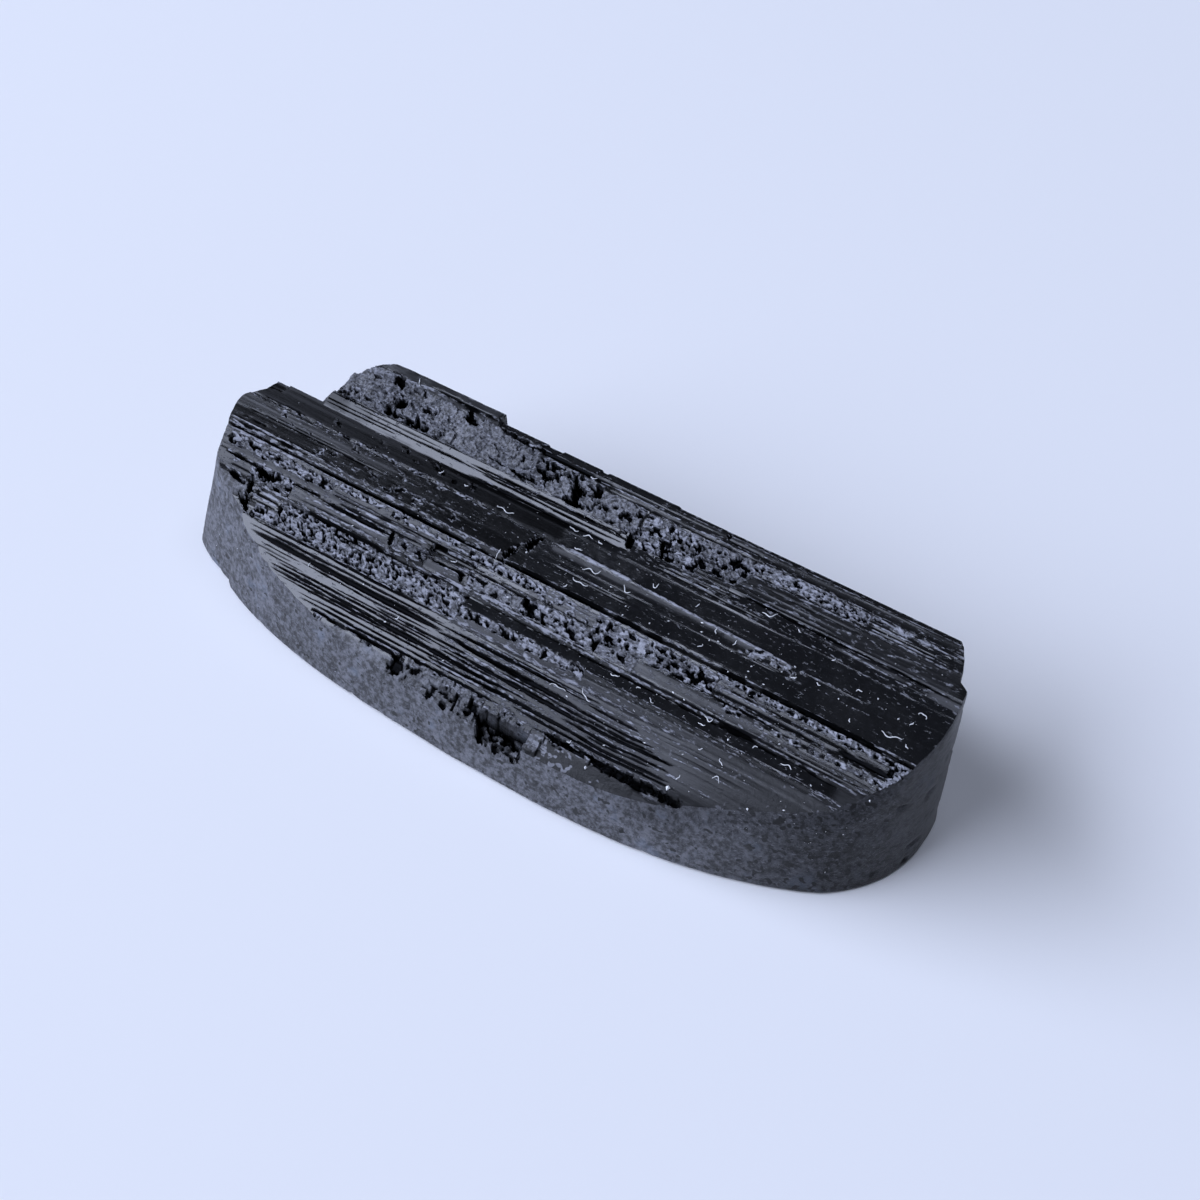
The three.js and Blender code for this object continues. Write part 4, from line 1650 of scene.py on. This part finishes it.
@dataclass(frozen=True)
class SchorlFinish:
    """Black tourmaline: glossy where it grew, satin on fine ribs, grey where crumbled or ground, with
    painted shade.
    """

    gloss_colour: Colour = grey(0.005)
    satin_colour: Colour = grey(0.024)
    crumb_dark: Colour = grey(0.012)
    crumb_light: Colour = grey(0.22)
    ground_dark: Colour = grey(0.02)
    ground_light: Colour = grey(0.155)
    ground_pit: Colour = grey(0.008)
    pale_stain: Colour = (0.16, 0.2, 0.27, 1.0)
    worn_colour: Colour = grey(0.3)
    # Painted shade: near black, and metallic in the shader, so it reflects nothing
    painted_shade_colour: Colour = grey(0.002)
    gloss_roughness: float = 0.14
    satin_roughness: float = 0.56
    crumb_roughness: float = 0.6
    ground_roughness: float = 0.62
    painted_shade_roughness: float = 0.25
    ior: float = 1.64
    specular: float = 0.47
    streak_scale: Way = (1.3, 17.0, 17.0)
    chip_scale: Way = (2.6, 8.0, 8.0)
    streak_noise: Way = (1.0, 3, 0.6)
    chip_noise: Way = (1.0, 4, 0.68)
    speckle_noise: Way = (3.6, 5, 0.72)
    gravel_noise: Way = (7.5, 3, 0.6)
    cloud_noise: Way = (0.55, 3, 0.55)
    pit_noise: Way = (3.0, 1, 0.4)
    crumb_span: Point = (0.38, 0.66)
    speckle_span: Point = (0.4, 0.62)
    cloud_span: Point = (0.35, 0.65)
    cloud_swing: float = 0.18
    stain_span: Point = (0.6, 0.72)
    stain_most: float = 0.5
    nick_span: Point = (0.65, 0.73)
    nick_most: float = 0.8
    nick_satin: float = 0.5
    pit_span: Point = (0.66, 0.7)
    pit_satin: float = 0.4
    film_span: Point = (0.5, 0.75)
    film_most: float = 0.4
    streak_span: Point = (0.38, 0.6)
    streak_range: Point = (0.15, 1.6)
    chip_span: Point = (0.64, 0.76)
    chip_most: float = 0.9
    chip_worn: float = 0.28
    sheltered: Point = (0.7, 0.9)
    gloss_cloud: Point = (0.3, 0.7)
    gloss_range: Point = (-0.04, 0.06)
    scuff_bump: float = 0.5
    ground_bump: float = 0.7
    streak_bump: Point = (0.1, 0.02)
    bump_height: float = 0.06
    bump_strength: float = 0.9

    def material(self) -> bpy.types.Material:
        """Makes the material.

        Returns:
            The material, which reads the stone's surface attributes.
        """
        shader = Shader("schorl")
        spot = shader.place()
        crumbled, satin = shader.amount(Surface.CRUMBLED), shader.amount(Surface.SATIN)
        ground, worn = shader.amount(Surface.GROUND), shader.amount(Surface.WORN)
        painted_shade = shader.amount(Surface.PAINTED_SHADE)
        speckle = shader.noise(spot, *self.speckle_noise)
        gravel = shader.noise(spot, *self.gravel_noise)
        streak = shader.noise(shader.place(self.streak_scale), *self.streak_noise)
        chips = shader.noise(shader.place(self.chip_scale), *self.chip_noise)
        cloud = shader.noise(spot, *self.cloud_noise)
        holes = shader.noise(spot, *self.pit_noise)

        crumb = shader.ramp(gravel, *self.crumb_span)
        crumb = shader.blend(crumb, self.crumb_dark, self.crumb_light)
        uneven = shader.ramp(cloud, *self.cloud_span, -self.cloud_swing, self.cloud_swing)
        tone = shader.math("ADD", shader.ramp(speckle, *self.speckle_span), uneven)
        flat = shader.blend(tone, self.ground_dark, self.ground_light)
        stained = shader.ramp(cloud, *self.stain_span, 0, self.stain_most)
        flat = shader.blend(stained, flat, self.pale_stain)
        nicked = shader.weigh(chips, satin, self.nick_satin)
        nicked = shader.ramp(nicked, *self.nick_span, 0, self.nick_most)
        flat = shader.blend(nicked, flat, self.worn_colour)
        pitted = shader.weigh(holes, satin, self.pit_satin)
        flat = shader.blend(shader.ramp(pitted, *self.pit_span), flat, self.ground_pit)
        film = shader.ramp(speckle, *self.film_span, 0.0, self.film_most)
        film = shader.math("MAXIMUM", satin, film)
        streaky = shader.ramp(streak, *self.streak_span, *self.streak_range)
        streaky = shader.math("MULTIPLY", film, streaky)
        colour = shader.blend(streaky, self.gloss_colour, self.satin_colour)
        colour = shader.blend(crumbled, colour, crumb)
        colour = shader.blend(ground, colour, flat)
        colour = shader.blend(painted_shade, colour, self.painted_shade_colour)
        loose = shader.weigh(chips, worn, self.chip_worn)
        loose = shader.ramp(loose, *self.chip_span, 0, self.chip_most)
        exposed = shader.ramp(shader.math("ADD", painted_shade, ground), *self.sheltered, 1, 0)
        scuff = shader.math("MULTIPLY", loose, exposed)
        colour = shader.blend(scuff, colour, self.worn_colour)
        shader.feed(shader.surface.inputs["Base Color"], colour)

        least, most = (self.gloss_roughness + change for change in self.gloss_range)
        rough = shader.ramp(cloud, *self.gloss_cloud, least, most)
        layers = (
            (satin, self.satin_roughness),
            (crumbled, self.crumb_roughness),
            (ground, self.ground_roughness),
            (painted_shade, self.painted_shade_roughness),
            (scuff, self.crumb_roughness),
        )
        for share, roughness in layers:
            rough = shader.mix(share, rough, roughness)
        shader.feed(shader.surface.inputs["Roughness"], rough)
        # Painted shade turns the stone metallic and near black where it is marked, so it shows no
        # reflection, except on scuffs
        bare = shader.math("SUBTRACT", 1.0, scuff)
        shader.feed(shader.surface.inputs["Metallic"], shader.math("MULTIPLY", painted_shade, bare))
        shader.feed(shader.surface.inputs["IOR"], self.ior)
        shader.feed(shader.surface.inputs["Specular IOR Level"], self.specular)

        grains = shader.weigh(shader.math("MULTIPLY", crumbled, gravel), scuff, self.scuff_bump)
        tooth = shader.math("MULTIPLY", shader.math("MULTIPLY", ground, self.ground_bump), speckle)
        lines = shader.math("MULTIPLY", shader.mix(ground, *self.streak_bump), streak)
        bump = shader.math("ADD", shader.math("ADD", grains, tooth), lines)
        shader.roughen(bump, self.bump_height, self.bump_strength)
        return shader.material


@dataclass(frozen=True)
class LintFinish:
    """White cotton lint and pale dust, a little uneven."""

    thin: Colour = (0.55, 0.56, 0.58, 1.0)
    thick: Colour = (0.9, 0.91, 0.92, 1.0)
    patch_noise: Way = (4, 2, 0.55)
    patch_span: Point = (0.35, 0.65)
    roughness: float = 0.9

    def material(self) -> bpy.types.Material:
        """Makes the material.

        Returns:
            The material.
        """
        shader = Shader("lint")
        patchy = shader.noise(shader.place(), *self.patch_noise)
        patchy = shader.ramp(patchy, *self.patch_span)
        shader.feed(shader.surface.inputs["Base Color"], shader.blend(patchy, self.thin, self.thick))
        shader.feed(shader.surface.inputs["Roughness"], self.roughness)
        return shader.material


@dataclass
class Crystal:
    """The whole stone: the natural face cut to the ground blank."""

    face: NaturalFace
    blank: GroundBlank
    finish: SchorlFinish
    most_triangles: int = 190000
    smooth_angle: float = math.radians(25)
    # Painted shade on the right end, which faces away from the window, and on the wall just below the
    # face at the front right, in place of a reflection
    end_shade_along: Point = (10, 19)
    end_shade_ground: float = 0.15
    end_shade_satin: float = 0.2
    end_shade_amount: float = 0.72
    under_depth: float = 1.8
    under_along: Point = (6, 12)
    under_across: Point = (3, 5)
    brim_shade_amount: float = 0.45
    body: bpy.types.Object = field(init=False)

    def build(self) -> None:
        """Cuts the face to the blank and thins the mesh where it is plain."""
        self.face.carve(self.blank)
        self.body = self.face.build()
        self.body.name = "black_tourmaline"
        blank = self.blank.build(self.face)
        material = self.finish.material()
        side = bpy.data.materials.new("ground side")
        for piece in (self.body, blank):
            piece.data.materials.append(material)
            piece.data.materials.append(side)
        ones = np.ones(len(blank.data.polygons), dtype=np.int32)
        blank.data.polygons.foreach_set("material_index", ones)
        cut = self.body.modifiers.new("cut", "BOOLEAN")
        cut.operation = "INTERSECT"
        cut.solver = "MANIFOLD"
        cut.object = blank
        apply_modifier(self.body, "cut")
        bpy.data.objects.remove(blank, do_unlink=True)
        self.body.data.calc_loop_triangles()
        found = len(self.body.data.loop_triangles)
        log.info("stone cut: %d triangles", found)
        thin = self.body.modifiers.new("thin", "DECIMATE")
        thin.ratio = min(1.0, self.most_triangles / found)
        apply_modifier(self.body, "thin")
        bpy.ops.object.shade_smooth_by_angle(angle=self.smooth_angle)
        self.mark_surfaces()
        self.body.data.materials.pop(index=1)

    def mark_surfaces(self) -> None:
        """Writes the surface attributes on the corners of the stone's faces."""
        mesh = self.body.data
        points = read_points(self.body) / MM
        corner = np.empty(len(mesh.loops), dtype=np.int32)
        mesh.loops.foreach_get("vertex_index", corner)
        kind = np.empty(len(mesh.polygons), dtype=np.int32)
        mesh.polygons.foreach_get("material_index", kind)
        size = np.empty(len(mesh.polygons), dtype=np.int32)
        mesh.polygons.foreach_get("loop_total", size)
        on_side = np.repeat(kind, size) == 1
        x, y, z = points[corner].T
        end_shade = ease(x, *self.end_shade_along)
        below = self.face.sample(self.face.height, x, y) - z
        under = ease(self.under_depth - below, 0, self.under_depth)
        under = under * ease(x, *self.under_along) * ease(-y, *self.under_across)
        # The sides are ground, but the right end is painted darker, as shade, with less ground, more
        # satin and painted shade, and the wall below the front right brim gets painted shade
        sides = {
            Surface.GROUND: 1 - self.end_shade_ground * end_shade,
            Surface.SATIN: self.end_shade_satin * end_shade,
            Surface.PAINTED_SHADE: np.maximum(self.end_shade_amount * end_shade, self.brim_shade_amount * under),
        }
        for surface, values in self.face.maps.items():
            amount = self.face.sample(values, x, y)
            amount[on_side] = sides.get(surface, np.zeros_like(x))[on_side]
            layer = mesh.attributes.new(surface.value, "FLOAT", "CORNER")
            layer.data.foreach_set("value", amount.astype(np.float32))

    def dress(self) -> None:
        """Ties the stone to the frame."""
        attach(self.body, BODY)
        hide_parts(NODE)


@dataclass
class Lint:
    """Lint and dust that have caught on the natural face, as one piece."""

    face: NaturalFace
    finish: LintFinish
    fibre_radius: float = 0.024
    fibre_length: float = 0.6
    sides: int = 5
    bends: int = 11
    dust_count: int = 420
    dust_radius: Point = (0.01, 0.026)
    dust_along: Point = (-16, 19)
    dust_across: Point = (-6.4, 2.6)
    wiggle: float = 26
    wiggle_waves: float = 9
    wiggle_shift: float = 7
    sag: int = 2
    tips: Point = (0.06, 0.94)
    speck_shape: Way = (1.4, 0.8, 0.6)
    speck_turn: float = 40
    seed: int = 5
    body: bpy.types.Object = field(init=False)
    points: list[Array] = field(default_factory=list)
    faces: list[tuple[int, ...]] = field(default_factory=list)

    def build(self) -> None:
        """Lays every fibre and speck on the face and joins them."""
        for fibre in FIBRES:
            self.lay_fibre(fibre)
        for speck in SPECKS:
            self.lay_speck(speck)
        chance = np.random.default_rng(self.seed)
        for _ in range(self.dust_count):
            ranges = (self.dust_along, self.dust_across, self.dust_radius)
            self.lay_speck(Speck(*(chance.uniform(low, high) for low, high in ranges)))
        mesh = bpy.data.meshes.new("lint")
        mesh.from_pydata(np.concatenate(self.points) * MM, [], self.faces)
        mesh.update()
        self.body = bpy.data.objects.new("lint", mesh)
        bpy.context.collection.objects.link(self.body)
        mesh.materials.append(self.finish.material())
        bpy.ops.object.select_all(action="DESELECT")
        self.body.select_set(True)
        bpy.context.view_layer.objects.active = self.body
        bpy.ops.object.mode_set(mode="EDIT")
        bpy.ops.mesh.select_all(action="SELECT")
        bpy.ops.mesh.normals_make_consistent(inside=False)
        bpy.ops.object.mode_set(mode="OBJECT")

    def count(self) -> int:
        """Counts the points laid so far."""
        return sum(len(part) for part in self.points)

    def lay_fibre(self, fibre: Fibre) -> None:
        """Adds one fibre as a thin closed tube.

        Args:
            fibre: The fibre to add.
        """
        share = np.linspace(0, 1, self.bends)
        wiggle = self.wiggle * np.sin(self.wiggle_waves * share + self.wiggle_shift * fibre.x)
        heading = np.radians(fibre.turn + fibre.curl * (share - 0.5) + wiggle)
        step = self.fibre_length * fibre.length / (self.bends - 1)
        x = np.cumsum(step * np.cos(heading))
        y = np.cumsum(step * np.sin(heading))
        x, y = x - x.mean() + fibre.x, y - y.mean() + fibre.y
        z = self.face.sample(self.face.height, x, y)
        window = 2 * self.sag + 1
        hung = np.convolve(np.pad(z, self.sag, mode="edge"), np.ones(window) / window, mode="valid")
        z = np.maximum(z, hung) + self.fibre_radius
        middle = np.column_stack([x, y, z])
        along = np.gradient(middle, axis=0)
        along /= np.linalg.norm(along, axis=1)[:, None]
        side = np.cross(along, (0, 0, 1))
        side /= np.linalg.norm(side, axis=1)[:, None]
        rise = np.cross(side, along)
        round_off = np.sin(math.pi * np.clip(share, *self.tips))
        thick = self.fibre_radius * (0.5 + 0.5 * round_off)[:, None]
        first = self.count()
        for k in range(self.sides):
            angle = 2 * math.pi * k / self.sides
            self.points.append(middle + thick * (math.cos(angle) * side + math.sin(angle) * rise))
        ring = [first + k * self.bends for k in range(self.sides)]
        for k in range(self.sides):
            this, other = ring[k], ring[(k + 1) % self.sides]
            for i in range(self.bends - 1):
                self.faces.append((this + i, this + i + 1, other + i + 1, other + i))
        self.faces.append(tuple(ring))
        self.faces.append(tuple(start + self.bends - 1 for start in reversed(ring)))

    def lay_speck(self, speck: Speck) -> None:
        """Adds one speck as a small lopsided octahedron.

        Args:
            speck: The speck to add.
        """
        x, y = np.array([speck.x]), np.array([speck.y])
        z = self.face.sample(self.face.height, x, y)[0]
        turn = self.speck_turn * (speck.x + speck.y)
        long, wide, high = (share * speck.radius for share in self.speck_shape)
        ring = [(long, 0, 0), (0, wide, 0), (-long, 0, 0), (0, -wide, 0)]
        corners = np.array([*ring, (0, 0, high), (0, 0, -high)])
        cosine, sine = math.cos(turn), math.sin(turn)
        spin = np.array([[cosine, sine, 0], [-sine, cosine, 0], [0, 0, 1]])
        first = self.count()
        self.points.append(corners @ spin + (speck.x, speck.y, z + 0.5 * high))
        top, bottom = first + len(ring), first + len(ring) + 1
        for k in range(len(ring)):
            this, other = first + k, first + (k + 1) % len(ring)
            self.faces.append((this, other, top))
            self.faces.append((other, this, bottom))

    def dress(self) -> None:
        """Ties the lint to the stone's body."""
        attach(self.body, BODY)


@dataclass(frozen=True)
class Panel:
    """A soft rectangular light: which way it hangs from the stone, how far, its size and its power."""

    name: str
    way: Way
    distance: float
    width: float
    height: float
    power: float

    def hang(self, colour: Way) -> None:
        """Hangs the light, facing the stone.

        Args:
            colour: The light's colour.
        """
        lamp = bpy.data.lights.new(self.name, "AREA")
        lamp.shape = "RECTANGLE"
        lamp.size = self.width * MM
        lamp.size_y = self.height * MM
        lamp.energy = self.power
        lamp.color = colour
        light = bpy.data.objects.new(self.name, lamp)
        way = Vector(self.way).normalized()
        light.location = way * self.distance * MM
        light.rotation_euler = way.to_track_quat("Z", "Y").to_euler()
        bpy.context.collection.objects.link(light)


@dataclass
class Studio:
    """A pale floor, a big soft window light at the left, a dim one overhead, and the camera."""

    floor_half: float = 1500.0
    eye: Way = (41.106, -56.121, 78.401)
    aim: Way = (-0.35, 4.1, 0.0)
    lens: float = 65.07
    sensor: float = 36.0
    window: Panel = Panel("window", (-0.649, -0.447, 0.616), 1300.0, 1850.0, 900.0, 28.0)
    ceiling: Panel = Panel("ceiling", (0.2, 0.1, 0.97), 1300.0, 700.0, 700.0, 3.6)
    light_colour: Way = (0.8, 0.88, 1.12)
    room_strength: float = 0.045
    floor_colour: Colour = (0.875, 0.875, 0.875, 1.0)
    floor_roughness: float = 0.9
    nearest: float = 5.0

    def build(self) -> None:
        """Makes the floor, the lights and the camera."""
        self.make_floor()
        self.window.hang(self.light_colour)
        self.ceiling.hang(self.light_colour)
        self.fill_room()
        self.make_camera()

    def make_floor(self) -> None:
        """Lays the floor under the stone."""
        bpy.ops.object.select_all(action="DESELECT")
        bpy.ops.mesh.primitive_plane_add(size=2 * self.floor_half * MM, location=(0, 0, 0))
        floor = bpy.context.object
        floor.name = "floor"
        shader = Shader("paper")
        shader.feed(shader.surface.inputs["Base Color"], self.floor_colour)
        shader.feed(shader.surface.inputs["Roughness"], self.floor_roughness)
        floor.data.materials.append(shader.material)

    def fill_room(self) -> None:
        """Fills the room with dim light."""
        world = bpy.data.worlds.new("room")
        world.use_nodes = True
        room = world.node_tree.nodes["Background"]
        room.inputs["Color"].default_value = (*self.light_colour, 1.0)
        room.inputs["Strength"].default_value = self.room_strength
        bpy.context.scene.world = world

    def make_camera(self) -> None:
        """Sets up the camera and the plain colour view."""
        camera = bpy.data.cameras.new("camera")
        camera.lens = self.lens
        camera.sensor_width = self.sensor
        camera.clip_start = self.nearest * MM
        eye = bpy.data.objects.new("camera", camera)
        eye.location = Vector(self.eye) * MM
        way = (Vector(self.aim) - Vector(self.eye)).normalized()
        eye.rotation_euler = way.to_track_quat("-Z", "Y").to_euler()
        bpy.context.collection.objects.link(eye)
        bpy.context.scene.camera = eye
        bpy.context.scene.view_settings.view_transform = "Standard"


def main() -> None:
    """Builds the studio, the stone and the lint on it."""
    logging.basicConfig(level=logging.INFO, format="%(name)s: %(message)s")
    Studio().build()
    log.info("studio set")
    crystal = Crystal(NaturalFace(), GroundBlank(), SchorlFinish())
    crystal.build()
    crystal.dress()
    log.info("stone built: %d faces", len(crystal.body.data.polygons))
    lint = Lint(crystal.face, LintFinish())
    lint.build()
    lint.dress()
    log.info("lint built: %d faces", len(lint.body.data.polygons))


if __name__ == "__main__":
    main()
